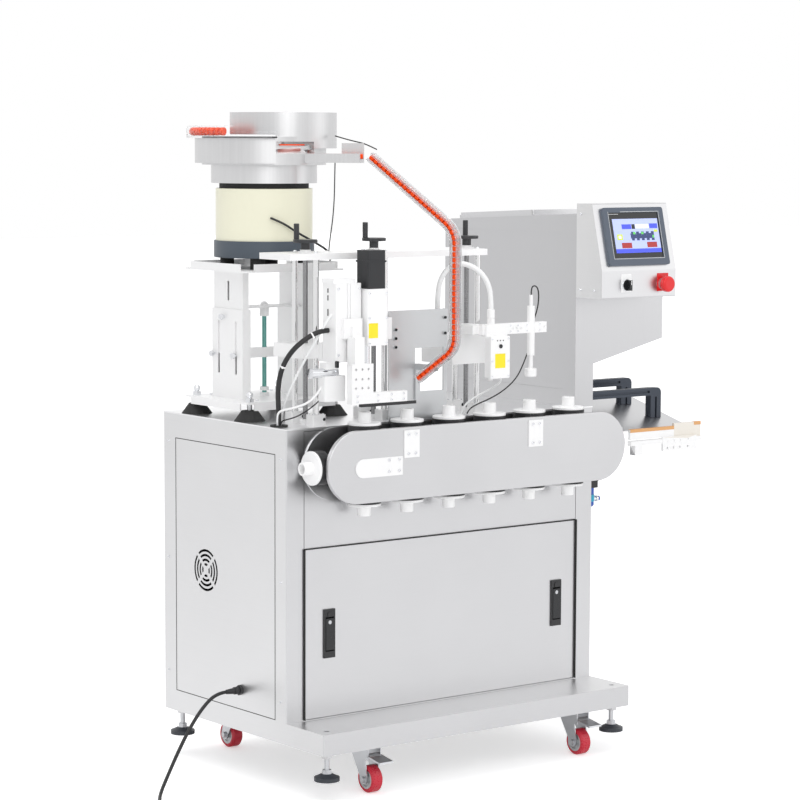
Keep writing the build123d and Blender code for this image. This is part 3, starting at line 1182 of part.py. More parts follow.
# Bowl drive and bowl
def bowl_drive():
    ring = rod("z", (BOWL_X, BOWL_Y, RING_Z), SKIRT_Z - RING_Z, RING_R)
    ring = fillet(ring.edges().filter_by(GeomType.CIRCLE), 1.5)
    add("bowl_drive", ring)
    foot_z = STAND_TOP - PLATE_DEEP + PLATE_SHEET
    for a in (45, 135, 225, 315):
        x = BOWL_X + 92 * math.cos(math.radians(a))
        y = BOWL_Y + 92 * math.sin(math.radians(a))
        add("bowl_drive", rod("z", (x, y, foot_z), RING_Z - foot_z, 17))
    skirt = rod("z", (BOWL_X, BOWL_Y, SKIRT_Z), CROWN_Z - SKIRT_Z, SKIRT_R)
    skirt = skirt - rod("z", (BOWL_X, BOWL_Y, SKIRT_Z - 1), CROWN_Z - SKIRT_Z + 2, SKIRT_R - 3)
    add("bowl_drive", skirt)
    magnet = block(BOWL_X - 40, BOWL_X + 40, BOWL_Y - 30, BOWL_Y + 30, SKIRT_Z, SKIRT_Z + 70)
    add("bowl_drive", magnet)
    for a in (0, 120, 240):
        spring = Pos(BOWL_X, BOWL_Y, 0) * Rot(0, 0, a) * block(
            70, 78, -18, 18, SKIRT_Z, CROWN_Z + CROWN_GAP)
        add("bowl_drive", spring)


def ring_sector(inner, outer, z0, z1, start, end):
    """Part of a ring around the bowl's axis, between two angles."""
    steps = 12
    face = Circle(outer) - Circle(inner)
    points = [(0, 0)]
    for i in range(steps + 1):
        a = math.radians(start + (end - start) * i / steps)
        points.append((1.3 * outer * math.cos(a), 1.3 * outer * math.sin(a)))
    wedge = make_face(Polyline(points, close=True))
    plane = Plane(origin=(BOWL_X, BOWL_Y, z0))
    return extrude(plane * (face & wedge), z1 - z0)


def feeder_bowl():
    crown = rod("z", (BOWL_X, BOWL_Y, CROWN_Z + CROWN_GAP), BOWL_Z - CROWN_Z - CROWN_GAP, 109)
    add("feeder_bowl", crown)
    parts = []
    for r, z0, z1 in BOWL_TIERS:
        parts.append(rod("z", (BOWL_X, BOWL_Y, z0), z1 - z0, r))
    rim_r, dx, dy, z0, z1 = BOWL_RIM
    parts.append(rod("z", (BOWL_X + dx, BOWL_Y + dy, z0), z1 - z0, rim_r))
    parts.append(ring_sector(140, TRACK_WALL_R, BOWL_Z + 48, TRACK_Z, 95, 245))
    parts.append(ring_sector(140, TRACK_OUTER_R, TRACK_Z - 4, TRACK_Z, 95, 245))
    parts.append(ring_sector(TRACK_OUTER_R - 2.5, TRACK_OUTER_R, TRACK_Z - 1, TRACK_Z + 14, 95, 245))
    tray = chute_place() * Pos(-310, 0, BOWL_Z + 61) * Box(152, 36, 22)
    parts.append(tray)
    guard = chute_place() * Pos(-262, 17, BOWL_Z + 75) * Box(56, 2.5, 44)
    parts.append(guard)
    body = union(parts)
    body = body - rod("z", (BOWL_X, BOWL_Y, BOWL_Z + 5), 50, 96)
    body = body - rod("z", (BOWL_X, BOWL_Y, BOWL_Z + 46), 40, 112)
    body = body - rod("z", (BOWL_X, BOWL_Y, BOWL_Z + 72), 45, 134)
    body = body - rod("z", (BOWL_X + dx, BOWL_Y + dy, BOWL_Z + 92), 90, rim_r - BOWL_WALL)
    groove = chute_place() * Pos(-310, 0, BOWL_Z + 70) * Box(160, 24, 22)
    body = body - groove - return_pocket()
    add("feeder_bowl", body)


def return_pocket():
    """A pocket under the rim with a sloped floor, down which stray caps slide back."""
    start, end = POCKET_ANGLES
    low = BOWL_TIERS[1][1] + POCKET_LIFT
    outer = BOWL_TIERS[1][0]
    pocket = ring_sector(POCKET_R, outer + 12, low, low + POCKET_HIGH, start, end)
    turn = Pos(BOWL_X, BOWL_Y, low - 30) * Rot(0, 0, (start + end) / 2) * Rot(POCKET_TILT, 0, 0)
    slope = turn * cone((0, 0, 0), 90, outer + 20, POCKET_R - 37)
    return pocket - slope


POCKET_ANGLES = (-116.0, -72.0)
POCKET_LIFT = 28.0
POCKET_HIGH = 28.0
POCKET_R = 136.0
POCKET_TILT = 10.0
TRACK_WALL_R = 168.0
TRACK_OUTER_R = 188.0
TRACK_Z = BOWL_Z + 112.0


# Cap chute and the caps in it
def chute_place():
    """Puts a shape drawn along x, across y and up z into the chute's plane."""
    return Pos(CHUTE_FOOT[0], CHUTE_FOOT[1], 0) * Rot(0, 0, CHUTE_ANGLE)


def chute_side_y(x):
    """The y at which the chute's inner side wall passes a given x."""
    a = math.radians(CHUTE_ANGLE)
    half = CHUTE_WIDTH / 2
    s = (x - CHUTE_FOOT[0] + half * math.sin(a)) / math.cos(a)
    return CHUTE_FOOT[1] + s * math.sin(a) + half * math.cos(a)


def chute_plane():
    a = math.radians(CHUTE_ANGLE)
    return Plane(origin=(CHUTE_FOOT[0], CHUTE_FOOT[1], 0), x_dir=(math.cos(a), math.sin(a), 0),
                 z_dir=(math.sin(a), -math.cos(a), 0))


def chute_line():
    return FilletPolyline(CHUTE_START, (0, CHUTE_KNEE), (0, CHUTE_ELBOW), CHUTE_END,
                          radius=[KNEE_R, ELBOW_R])


KNEE_R = 70.0
ELBOW_R = 55.0


def cap_chute():
    line = chute_line()
    outer = extrude(chute_plane() * trace(line, CHUTE_DEEP), CHUTE_WIDTH / 2, both=True)
    inner = extrude(chute_plane() * trace(line, CHUTE_DEEP - 2 * CHUTE_WALL),
                    CHUTE_WIDTH / 2 - CHUTE_WALL, both=True)
    ends = []
    for t in (0, 1):
        p = line @ t
        d = line % t
        angle = math.degrees(math.atan2(d.Y, d.X))
        end = extrude(chute_plane() * Pos(p.X, p.Y) * Rot(0, 0, angle) * Rectangle(
            12, CHUTE_DEEP - 2 * CHUTE_WALL), CHUTE_WIDTH / 2 - CHUTE_WALL, both=True)
        ends.append(end)
    body = outer - inner - ends[0] - ends[1]
    slot = extrude(chute_plane() * trace(line, 9), CHUTE_WIDTH)
    body = body - slot
    add("cap_chute", body)
    count = int(line.length // (CAP_THICK + 1.2))
    for i in range(count):
        t = (i + 0.5) / count
        p = line @ t
        d = line % t
        angle = math.degrees(math.atan2(d.Y, d.X))
        cap = extrude(chute_plane() * Pos(p.X, p.Y) * Rot(0, 0, angle) * Rectangle(
            CAP_THICK, CHUTE_DEEP - 2 * CHUTE_WALL - 1), CAP_R, both=True)
        add("cap_row", cap)


def track_plate():
    x0, x1 = TRACK_X
    y0 = TRACK_Y
    y1 = y0 + TRACK_THICK
    plate = block(x0, x1, y0, y1, DECK, TRACK_TOP)
    plate = plate - block(WINDOW_X[0], WINDOW_X[1], y0 - 1, y1 + 1, WINDOW_Z[0], WINDOW_Z[1])
    foot = block(x0, x1, y0, y0 + 17, DECK, DECK + 4)
    rib = block(x1 - TRACK_THICK, x1, y0, y0 + 14, DECK, TRACK_TOP)
    body = union([plate, foot, rib])
    sill = WINDOW_Z[0]
    a = WINDOW_X[0] + 5
    arm = block(a - 7, a + 7, y0 - 5, y0, sill - 25, sill + 68)
    # The arm's end is cut to lie flat on the chute's side
    side = [(x, chute_side_y(x)) for x in (a + 7, a - 7)]
    arm = arm + prism(Plane(origin=(0, 0, sill + 54)), [(a - 7, y0), (a + 7, y0)] + side, 14)
    body = body + arm
    for z in (DECK + 178, DECK + 199, DECK + 220):
        body = body + hexagon("y", (x0 + 17, y0 - 4, z), 4.5, 9)
    for z in (DECK + 206, DECK + 244):
        body = body + hexagon("y", (x1 - 10, y0 - 3, z), 3.5, 8)
    add("track_plate", body)


HOSE_END = (472.0, 34.0, DECK + 223.0)
HOSE_R = 6.5
HOSE_POINTS = [
    (576.0, CHAIN_Y, HOSE_FOOT),
    (576.0, CHAIN_Y, DECK + 300.0),
    (567.0, -38.0, DECK + 335.0),
    (548.0, -22.0, DECK + 362.0),
    (520.0, 2.0, DECK + 375.0),
    (497.0, 22.0, DECK + 364.0),
    (480.0, 34.0, DECK + 334.0),
    (HOSE_END[0], HOSE_END[1], DECK + 290.0),
    HOSE_END,
]

# Lead of cables from the station 1 module down to the deck grommet
BUNDLE_R = 6.0
BUNDLE_POINTS = [
    (MODULE_X[0], -18.0, DECK + 228.0),
    (84.0, -18.0, DECK + 228.0),
    (52.0, -8.0, DECK + 212.0),
    (22.0, 10.0, DECK + 182.0),
    (10.0, 34.0, DECK + 140.0),
    (12.0, 52.0, DECK + 90.0),
    (21.0, 61.0, DECK + 40.0),
    (GROMMET[0], GROMMET[1], CABINET_TOP - 6.0),
]


# Right side: guide arms, chute plate, end strip
def outfeed():
    for y, x_end, top, foot in ARMS:
        beam = block(TOWER_LEG_X, x_end, y, y + ARM_DEEP, top - ARM_HIGH, top)
        leg = block(x_end - ARM_LEG, x_end, y, y + ARM_DEEP, foot, top)
        arm = beam + leg
        corner = [e for e in arm.edges().filter_by(Axis.Y)
                  if abs(e.center().X - x_end) < 0.1 and abs(e.center().Z - top) < 0.1]
        arm = fillet(corner, 14)
        slot = block(TOWER_LEG_X - 1, x_end - ARM_LEG, y + ARM_DEEP / 2 - 3, y + ARM_DEEP / 2 + 3,
                     top - 5, top + 1)
        side_slot = block(TOWER_LEG_X - 1, x_end - ARM_LEG - 4, y - 1, y + 4,
                          top - ARM_HIGH / 2 - 3, top - ARM_HIGH / 2 + 3)
        leg_slot = block(x_end - ARM_LEG / 2 - 3, x_end - ARM_LEG / 2 + 3, y - 1, y + 4,
                         foot - 1, top - ARM_HIGH - 4)
        add("guide_arms", arm - slot - side_slot - leg_slot - under_slide())
    # The plate falls towards the front and carries both legs
    a0, a1 = SLIDE_Y
    z0, z1 = SLIDE_Z
    plane = Plane(origin=(SLIDE_X[0], 0, 0), x_dir=(0, 1, 0), z_dir=(1, 0, 0))
    wide = SLIDE_X[1] - SLIDE_X[0]
    plate = prism(plane, [(a0, z0), (a1, z1), (a1, z1 - 3), (a0, z0 - 3)], wide)
    rim = prism(plane, [(a0, z0 + 10), (a1, z1 + 10), (a1, z1 - 3), (a0, z0 - 3)], 2)
    hanger = block(WIDTH, SLIDE_X[0] + 20, a1 - 40, a1, z1 - 21, z1 - 6)
    add("outfeed_slide", union([plate, rim, hanger]))


def under_slide():
    """The space below the slide's upper face, which cuts the arms' feet."""
    (a0, a1), (z0, z1) = SLIDE_Y, SLIDE_Z
    plane = Plane(origin=(SLIDE_X[0] - 10, 0, 0), x_dir=(0, 1, 0), z_dir=(1, 0, 0))
    return prism(plane, [(a0, z0), (a1, z1), (a1, z1 - 60), (a0, z0 - 60)],
                 SLIDE_X[1] - SLIDE_X[0] + 20)


ARM_DEEP = 20.0
ARM_HIGH = 20.0
ARM_LEG = 36.0
SLIDE_X = (994.0, 1225.0)
SLIDE_Y = (-62.0, 190.0)
SLIDE_Z = (DECK - 62.0, DECK + 6.0)
ARMS = ((4.0, 1190.0, DECK + 35.0, DECK - 43.5), (104.0, 1178.0, DECK + 53.0, DECK - 16.5))


def end_strip():
    y1 = SLIDE_Y[0]
    y0 = y1 - 8
    top = SLIDE_Z[0] + 3
    strip = block(1016, 1168, y0, y1, top - 27, top)
    add("outfeed_slide", strip)
    plate = block(1168, 1262, y0, y1, top - 30, top + 7)
    add("outfeed_slide", plate)
    under = block(1016, 1262, y1 - 12, y1 + 2, top - 42, top - 30)
    bracket = block(1124, 1242, y0 - 6, y0, top - 62, top - 26)
    for hx in (1140, 1162, 1184, 1212):
        for hz in (top - 54, top - 36):
            bracket = bracket - rod("y", (hx, y0 - 7, hz), 8, 3)
    pad = block(1030, 1056, y0 - 4, y1 + 8, top - 66, top - 42)
    add("outfeed_slide", union([under, bracket]), pad)


def air_regulator():
    x = WIDTH
    y = REGULATOR_Y
    z = CABINET_TOP - 219.0
    plate = block(x, x + 4, y - 22, y + 22, z - 20, z + 70)
    body = block(x + 4, x + 42, y - 19, y + 19, z + 8, z + 48)
    body = fillet(body.edges().filter_by(Axis.Z), 5)
    add("air_regulator", union([plate, body]))
    bowl = rod("z", (x + 23, y, z - 42), 50, 15)
    bowl = fillet(bowl.edges().filter_by(GeomType.CIRCLE).sort_by(Axis.Z)[:1], 7)
    add("air_regulator", bowl)
    port = rod("x", (x + 42, y, z + 28), 12, 7) + rod("x", (x + 54, y, z + 28), 12, 5)
    add("air_regulator", port)
    knob = rod("z", (x + 23, y, z + 48 + TOUCH), 26, 14)
    knob = fillet(knob.edges().filter_by(GeomType.CIRCLE).sort_by(Axis.Z)[-1:], 3)
    add("air_regulator", knob)


REGULATOR_Y = 40.0


def build():
    base_frame()
    caster_plates()
    for row, y in zip(("front", "rear"), caster_rows()):
        trail = -CASTER_TRAIL if row == "front" else CASTER_TRAIL
        for side, x in zip(("left", "right"), CASTER_X):
            caster(row + "_" + side, x, y, trail)
            if row == "front":
                brake_pedal(row + "_" + side, x, y)
    levelling_feet()
    cabinet_shell()
    deck_plate()
    front_door()
    side_panel()
    power_cord()
    control_gear()
    runs()
    sprocket("drive_sprocket", CHAIN_CENTRES[1], 90)
    sprocket("tail_sprocket", CHAIN_CENTRES[0], -90)
    conveyor_cover()
    conveyor_frame()
    conveyor_gearmotor()
    tower_shell()
    hmi()
    dosing_pump()
    station_frame()
    handwheels()
    gripper_head()
    capping_head()
    filling_head()
    bowl_stand()
    stand_head()
    bowl_drive()
    feeder_bowl()
    cap_chute()
    track_plate()
    tube("filling_hose", HOSE_POINTS, HOSE_R)
    tube("cable_bundle", BUNDLE_POINTS, BUNDLE_R)
    outfeed()
    end_strip()
    air_regulator()


def origin_shift():
    """Moves the floor point under the middle of the machine's box to the origin."""
    box = Compound([s for n, bag in nodes.items() if n not in cord_nodes for s in bag])
    box = box.bounding_box()
    return ((box.min.X + box.max.X) / 2, (box.min.Y + box.max.Y) / 2, box.min.Z)


build()
SHIFT = origin_shift()

if __name__ == "__main__":
    os.makedirs("parts", exist_ok=True)
    for name, bag in sorted(nodes.items()):
        moved = [Pos(-SHIFT[0], -SHIFT[1], -SHIFT[2]) * s for s in bag]
        export_step(moved[0] if len(moved) == 1 else Compound(moved), "parts/" + name + ".step")
    print("nodes", len(nodes), "shift", [round(v, 3) for v in SHIFT])
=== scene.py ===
# %% [markdown]
# # A bottle filling and capping machine
# The CAD model of the machine is the frame of this scene: every solid comes in at its real place
# and size. This notebook dresses it. It gives each solid its finish, and adds what the solids
# leave out, such as cables, screws, caps and the picture on the screen.

# %% Load the machine
import math
import bmesh
import bpy
import numpy as np
from mathutils import Matrix, Vector


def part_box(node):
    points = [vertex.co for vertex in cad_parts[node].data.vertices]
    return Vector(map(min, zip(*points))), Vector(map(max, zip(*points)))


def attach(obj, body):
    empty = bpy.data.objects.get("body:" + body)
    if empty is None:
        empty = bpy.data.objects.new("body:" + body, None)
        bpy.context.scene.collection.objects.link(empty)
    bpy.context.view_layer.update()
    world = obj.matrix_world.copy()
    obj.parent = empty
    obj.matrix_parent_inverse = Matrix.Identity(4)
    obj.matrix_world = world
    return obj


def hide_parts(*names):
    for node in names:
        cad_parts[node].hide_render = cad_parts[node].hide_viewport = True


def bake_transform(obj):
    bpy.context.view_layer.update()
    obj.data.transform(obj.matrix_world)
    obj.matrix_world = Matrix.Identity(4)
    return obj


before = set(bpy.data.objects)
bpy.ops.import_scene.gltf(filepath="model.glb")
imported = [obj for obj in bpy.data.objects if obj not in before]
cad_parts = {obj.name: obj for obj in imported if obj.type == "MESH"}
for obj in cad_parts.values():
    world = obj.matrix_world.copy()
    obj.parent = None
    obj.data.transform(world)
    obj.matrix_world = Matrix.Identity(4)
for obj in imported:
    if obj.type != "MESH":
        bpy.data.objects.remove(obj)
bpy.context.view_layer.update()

# %% [markdown]
# Drawings of such a machine are measured from one corner of the cabinet: x to the right from its
# left face, y to the back from its front face, z up from the floor, in millimetres. `at` turns
# such a place into the scene's metres.

# %% Places on the machine
MM = 0.001
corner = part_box("cabinet_shell")[0]
ORIGIN = Vector((corner[0], corner[1], 0.0))
DECK = 862.0
CHAIN_Z = DECK - 89.0
SPROCKETS = (135.5, 885.5)


def at(x, y, z):
    return ORIGIN + Vector((x, y, z)) * MM


print("cabinet corner", [round(c, 4) for c in ORIGIN])

# %% [markdown]
# The photographer stood far off with a long lens, a little above the deck and to the left of the
# machine. A long lens keeps the cabinet's uprights almost parallel. The camera's turn is given as
# a yaw, a pitch and a trace of roll, and its three axes are worked out from them.

# %% Camera
LENS = 119.31
CAMERA_PLACE = (-3518.7, -5018.9, 1536.2)
YAW, PITCH, ROLL = (math.radians(a) for a in (37.503, 5.631, 0.213))
camera = bpy.data.objects.new("camera", bpy.data.cameras.new("camera"))
bpy.context.scene.collection.objects.link(camera)
camera.data.lens = LENS
camera.data.sensor_width = 36.0
camera.data.clip_end = 100.0
ahead = Vector((math.sin(YAW) * math.cos(PITCH), math.cos(YAW) * math.cos(PITCH), -math.sin(PITCH)))
level = Vector((math.cos(YAW), -math.sin(YAW), 0.0))
lift = level.cross(ahead)
right = level * math.cos(ROLL) + lift * math.sin(ROLL)
upward = lift * math.cos(ROLL) - level * math.sin(ROLL)
turn = Matrix((right, upward, -ahead)).transposed().to_4x4()
camera.matrix_world = Matrix.Translation(at(*CAMERA_PLACE)) @ turn
bpy.context.scene.camera = camera
bpy.context.scene.view_settings.view_transform = "Standard"
print("camera stands", round(camera.location.length, 2), "m from the origin")

# %% [markdown]
# Metal shows what surrounds it, so the light is a bright room rather than a lamp. The world is
# white to the camera, to mirrors and through clear plastic, and falls off a little towards the
# floor for everything else. Three large soft lamps give the panels their gradients, and the floor
# catches the shadow.

# %% Room light
world = bpy.data.worlds.new("studio")
bpy.context.scene.world = world
world.use_nodes = True
tree = world.node_tree
background = tree.nodes["Background"]
rays = tree.nodes.new("ShaderNodeLightPath")
seen = tree.nodes.new("ShaderNodeMath")
seen.operation = "MAXIMUM"
seen_through = tree.nodes.new("ShaderNodeMath")
seen_through.operation = "MAXIMUM"
direction = tree.nodes.new("ShaderNodeTexCoord")
split = tree.nodes.new("ShaderNodeSeparateXYZ")
height = tree.nodes.new("ShaderNodeMapRange")
height.inputs["From Min"].default_value = -1.0
room = tree.nodes.new("ShaderNodeValToRGB")
shown = tree.nodes.new("ShaderNodeMix")
shown.data_type = "RGBA"
tree.links.new(direction.outputs["Generated"], split.inputs[0])
tree.links.new(split.outputs["Z"], height.inputs["Value"])
tree.links.new(height.outputs[0], room.inputs[0])
stops = room.color_ramp.elements
stops[0].position, stops[0].color = 0.30, (0.55, 0.55, 0.56, 1)
stops[1].position, stops[1].color = 0.95, (0.95, 0.95, 0.96, 1)
for place, grey in ((0.46, 0.80), (0.52, 0.40), (0.60, 0.72)):
    stops.new(place).color = (grey, grey, grey * 1.01, 1)
tree.links.new(rays.outputs["Is Camera Ray"], seen.inputs[0])
tree.links.new(rays.outputs["Is Glossy Ray"], seen.inputs[1])
tree.links.new(seen.outputs[0], seen_through.inputs[0])
tree.links.new(rays.outputs["Is Transmission Ray"], seen_through.inputs[1])
tree.links.new(seen_through.outputs[0], shown.inputs["Factor"])
tree.links.new(room.outputs[0], shown.inputs[6])
shown.inputs[7].default_value = (1, 1, 1, 1)
tree.links.new(shown.outputs[2], background.inputs["Color"])
background.inputs["Strength"].default_value = 1.0
print("room shades", len(stops))


# %% Lamps and floor
def soft_lamp(name, place, target, width, watts):
    """A large square lamp that looks at a place on the machine."""
    lamp = bpy.data.lights.new(name, "AREA")
    lamp.shape = "RECTANGLE"
    lamp.size, lamp.size_y = width
    lamp.energy = watts
    obj = bpy.data.objects.new(name, lamp)
    obj.location = at(*place)
    obj.rotation_euler = (at(*target) - at(*place)).to_track_quat("-Z", "Y").to_euler()
    bpy.context.scene.collection.objects.link(obj)


soft_lamp("key", (-1500, -3200, 2900), (450, 100, 800), (2.2, 2.2), 34)
soft_lamp("fill", (3600, -2600, 1800), (500, 0, 900), (2.5, 2.5), 9)
soft_lamp("top", (400, 300, 3600), (450, 250, 900), (2.4, 1.8), 26)

floor_mesh = bpy.data.meshes.new("studio_floor")
floor_mesh.from_pydata([(-30, -30, 0), (30, -30, 0), (30, 30, 0), (-30, 30, 0)], [], [(0, 1, 2, 3)])
floor = bpy.data.objects.new("studio_floor", floor_mesh)
bpy.context.scene.collection.objects.link(floor)
paper = bpy.data.materials.new("studio_paper")
paper.use_nodes = True
paper_shader = paper.node_tree.nodes["Principled BSDF"]
paper_shader.inputs["Base Color"].default_value = (0.90, 0.90, 0.90, 1)
paper_shader.inputs["Roughness"].default_value = 0.9
paper_shader.inputs["Emission Color"].default_value = (1, 1, 1, 1)
paper_rays = paper.node_tree.nodes.new("ShaderNodeLightPath")
paper_glow = paper.node_tree.nodes.new("ShaderNodeMapRange")
paper_glow.inputs["To Min"].default_value = 0.10
paper_glow.inputs["To Max"].default_value = 0.45
paper.node_tree.links.new(paper_rays.outputs["Is Camera Ray"], paper_glow.inputs["Value"])
paper.node_tree.links.new(paper_glow.outputs[0], paper_shader.inputs["Emission Strength"])
floor_mesh.materials.append(paper)

# %% [markdown]
# One recipe makes almost every finish here. Noise that is stretched along the grain moves the
# colour, the gloss and a very small relief together, as a grinding belt or a mould does. Long thin
# noise gives brushed sheet, fine round noise gives castings, paint and moulded plastic. On the
# feeder bowl the upright streaks are strong enough to be painted reflection bands as well.

# %% A recipe for finishes
finishes = {}


def finish(name, colour, rough, metal=0.0, grain=(300, 300, 300), depth=0.02, shade=0.06,
           gloss=0.06, **sockets):
    """Colour, gloss and relief that follow one noise; other sockets are set as they are."""
    material = bpy.data.materials.new(name)
    material.use_nodes = True
    nodes, links = material.node_tree.nodes, material.node_tree.links
    shader = nodes["Principled BSDF"]
    shader.inputs["Metallic"].default_value = metal
    for socket, value in sockets.items():
        shader.inputs[socket.replace("_", " ")].default_value = value
    place = nodes.new("ShaderNodeTexCoord")
    stretch = nodes.new("ShaderNodeMapping")
    stretch.inputs["Scale"].default_value = grain
    links.new(place.outputs["Object"], stretch.inputs["Vector"])
    noise = nodes.new("ShaderNodeTexNoise")
    noise.inputs["Scale"].default_value = 1.0
    noise.inputs["Detail"].default_value = 4.0
    links.new(stretch.outputs[0], noise.inputs["Vector"])
    cloud = nodes.new("ShaderNodeTexNoise")
    cloud.inputs["Scale"].default_value = 5.0
    cloud.inputs["Detail"].default_value = 3.0
    links.new(place.outputs["Object"], cloud.inputs["Vector"])
    half = nodes.new("ShaderNodeMath")
    half.operation = "MULTIPLY"
    half.inputs[1].default_value = 0.4
    links.new(noise.outputs["Fac"], half.inputs[0])
    both = nodes.new("ShaderNodeMath")
    both.operation = "MULTIPLY_ADD"
    both.inputs[1].default_value = 0.6
    links.new(cloud.outputs["Fac"], both.inputs[0])
    links.new(half.outputs[0], both.inputs[2])
    tone = nodes.new("ShaderNodeMix")
    tone.data_type = "RGBA"
    tone.inputs[6].default_value = [max(0.0, c * (1 - shade)) for c in colour] + [1]
    tone.inputs[7].default_value = [min(1.0, c * (1 + shade)) for c in colour] + [1]
    links.new(both.outputs[0], tone.inputs["Factor"])
    links.new(tone.outputs[2], shader.inputs["Base Color"])
    sheen = nodes.new("ShaderNodeMapRange")
    sheen.inputs["To Min"].default_value = max(0.02, rough - gloss)
    sheen.inputs["To Max"].default_value = min(1.0, rough + gloss)
    links.new(both.outputs[0], sheen.inputs["Value"])
    links.new(sheen.outputs[0], shader.inputs["Roughness"])
    relief = nodes.new("ShaderNodeBump")
    relief.inputs["Strength"].default_value = 0.35
    relief.inputs["Distance"].default_value = depth * MM
    links.new(noise.outputs["Fac"], relief.inputs["Height"])
    links.new(relief.outputs[0], shader.inputs["Normal"])
    finishes[name] = material


# %% Metals
finish("sheet_level", (0.66, 0.66, 0.67), 0.32, 1.0, (6, 6, 900), 0.012, 0.05, 0.07)
# The same sheet in a lighter tone, for faces that turn left or up: painted light.
finish("sheet_painted_lit_face", (0.76, 0.76, 0.765), 0.36, 1.0, (6, 6, 700), 0.012, 0.05, 0.07)
finish("sheet_upright", (0.58, 0.58, 0.59), 0.34, 1.0, (700, 700, 5), 0.012, 0.05, 0.07)
finish("deck_sheet", (0.92, 0.92, 0.93), 0.30, 1.0, (8, 700, 8), 0.01, 0.08, 0.05)
finish("frame_sheet", (0.64, 0.64, 0.65), 0.34, 1.0, (6, 6, 700), 0.015, 0.06, 0.07)
# The bowl's steel carries strong upright streaks of light and dark: painted reflection bands over its
# brushed tone.
finish("bowl_steel_painted_bands", (0.66, 0.66, 0.665), 0.36, 1.0, (160, 160, 4), 0.02, 0.16, 0.07)
finish("ground_rod", (0.84, 0.84, 0.84), 0.10, 1.0, (60, 60, 900), 0.006, 0.05, 0.04)
finish("screw_steel", (0.30, 0.30, 0.305), 0.26, 1.0, (5, 5, 1500), 0.12, 0.30, 0.08)
finish("polished_steel", (0.80, 0.81, 0.83), 0.12, 1.0, (200, 200, 200), 0.004, 0.04, 0.04)
finish("zinc_plate", (0.62, 0.63, 0.65), 0.36, 1.0, (260, 260, 260), 0.02, 0.10, 0.10)
finish("white_anodised", (0.93, 0.93, 0.93), 0.40, 0.15, (500, 500, 500), 0.02, 0.04, 0.08)
finish("grey_anodised", (0.60, 0.61, 0.62), 0.38, 0.7, (500, 500, 500), 0.02, 0.05, 0.07)
finish("teal_rod", (0.16, 0.40, 0.36), 0.30, 0.8, (60, 60, 900), 0.03, 0.15, 0.08)
finish("arm_dark", (0.055, 0.065, 0.085), 0.34, 0.5, (9, 500, 500), 0.02, 0.15, 0.08)
finish("copper_strip", (0.74, 0.40, 0.17), 0.40, 0.3, (9, 400, 400), 0.03, 0.10, 0.08)
finish("brass", (0.70, 0.50, 0.22), 0.28, 1.0, (200, 200, 200), 0.01, 0.08, 0.05)
print("metals", len(finishes))

# %% Plastics, rubber and paint
FINE = (300, 300, 300)
finish("white_plastic", (0.96, 0.96, 0.96), 0.36, shade=0.02)
finish("black_plastic", (0.022, 0.022, 0.024), 0.42, 0.0, (420, 420, 420), 0.04, 0.25, 0.10)
finish("black_gloss", (0.015, 0.016, 0.018), 0.18, 0.0, FINE, 0.01, 0.2)
finish("black_paint", (0.030, 0.031, 0.034), 0.30, 0.0, (400, 400, 400), 0.03, 0.2, 0.08)
finish("motor_paint", (0.028, 0.029, 0.032), 0.45, 0.2, (500, 500, 500), 0.05, 0.25, 0.10)
finish("dark_rubber", (0.018, 0.018, 0.018), 0.70, 0.0, (260, 260, 260), 0.10, 0.3, 0.10)
finish("foot_rubber", (0.035, 0.040, 0.050), 0.42, shade=0.2)
finish("cable_rubber", (0.016, 0.016, 0.017), 0.48, 0.0, FINE, 0.03, 0.2, 0.08)
finish("red_tyre", (0.62, 0.020, 0.045), 0.28, shade=0.08, gloss=0.08)
finish("seal_orange", (0.78, 0.17, 0.05), 0.45, shade=0.08, gloss=0.08)
finish("cap_orange", (0.98, 0.075, 0.002), 0.34, gloss=0.08, Specular_IOR_Level=0.25)
finish("clear_plastic", (0.98, 0.985, 0.99), 0.05, shade=0.01, gloss=0.03,
       Transmission_Weight=0.96, IOR=1.12)
finish("clear_rail", (0.84, 0.85, 0.86), 0.10, shade=0.02, gloss=0.04,
       Transmission_Weight=0.82, IOR=1.15)
finish("milky_tube", (0.90, 0.91, 0.91), 0.28, shade=0.03)
finish("drive_cream", (0.90, 0.885, 0.70), 0.30, 0.0, (120, 120, 120), 0.04, 0.02, 0.05)
finish("drive_slate", (0.075, 0.095, 0.120), 0.42, 0.0, FINE, 0.05, 0.12, 0.08)
finish("bezel_blue", (0.105, 0.125, 0.160), 0.40, 0.4, (500, 500, 500), 0.02, 0.08, 0.07)
finish("stop_red", (0.78, 0.016, 0.020), 0.26, shade=0.05)
finish("cream_plate", (0.84, 0.80, 0.73), 0.46, 0.0, (9, 300, 300), 0.03, 0.05, 0.08)
finish("patch_yellow", (0.95, 0.80, 0.02), 0.45, shade=0.03)
finish("ring_cyan", (0.02, 0.42, 0.62), 0.35)
finish("fitting_blue", (0.02, 0.10, 0.50), 0.35)
finish("box_grey", (0.42, 0.43, 0.44), 0.5, shade=0.08)
print("finishes", len(finishes))

# %% [markdown]
# Cables come next, before anything else is made, because their lengths and places have to agree
# with the solids of the model. Each is one smooth line: a spline whose control points are the
# places where the cable is led. A cable that bends between a carriage and the machine is made as a
# mesh tube around the points of such a line.

# %% Lines and tubes
def line_of(name, points, radius, coat):
    """A round cable along one smooth line through its route."""
    data = bpy.data.curves.new(name, "CURVE")
    data.dimensions = "3D"
    line = data.splines.new("NURBS")
    line.points.add(len(points) - 1)
    for control, place in zip(line.points, points):
        control.co = (*at(*place), 1.0)
    line.order_u = 3
    line.use_endpoint_u = True
    data.resolution_u = 8
    data.bevel_depth = radius * MM
    data.bevel_resolution = 4
    data.use_fill_caps = True
    data.materials.append(finishes[coat])
    obj = bpy.data.objects.new(name, data)
    bpy.context.scene.collection.objects.link(obj)
    return obj


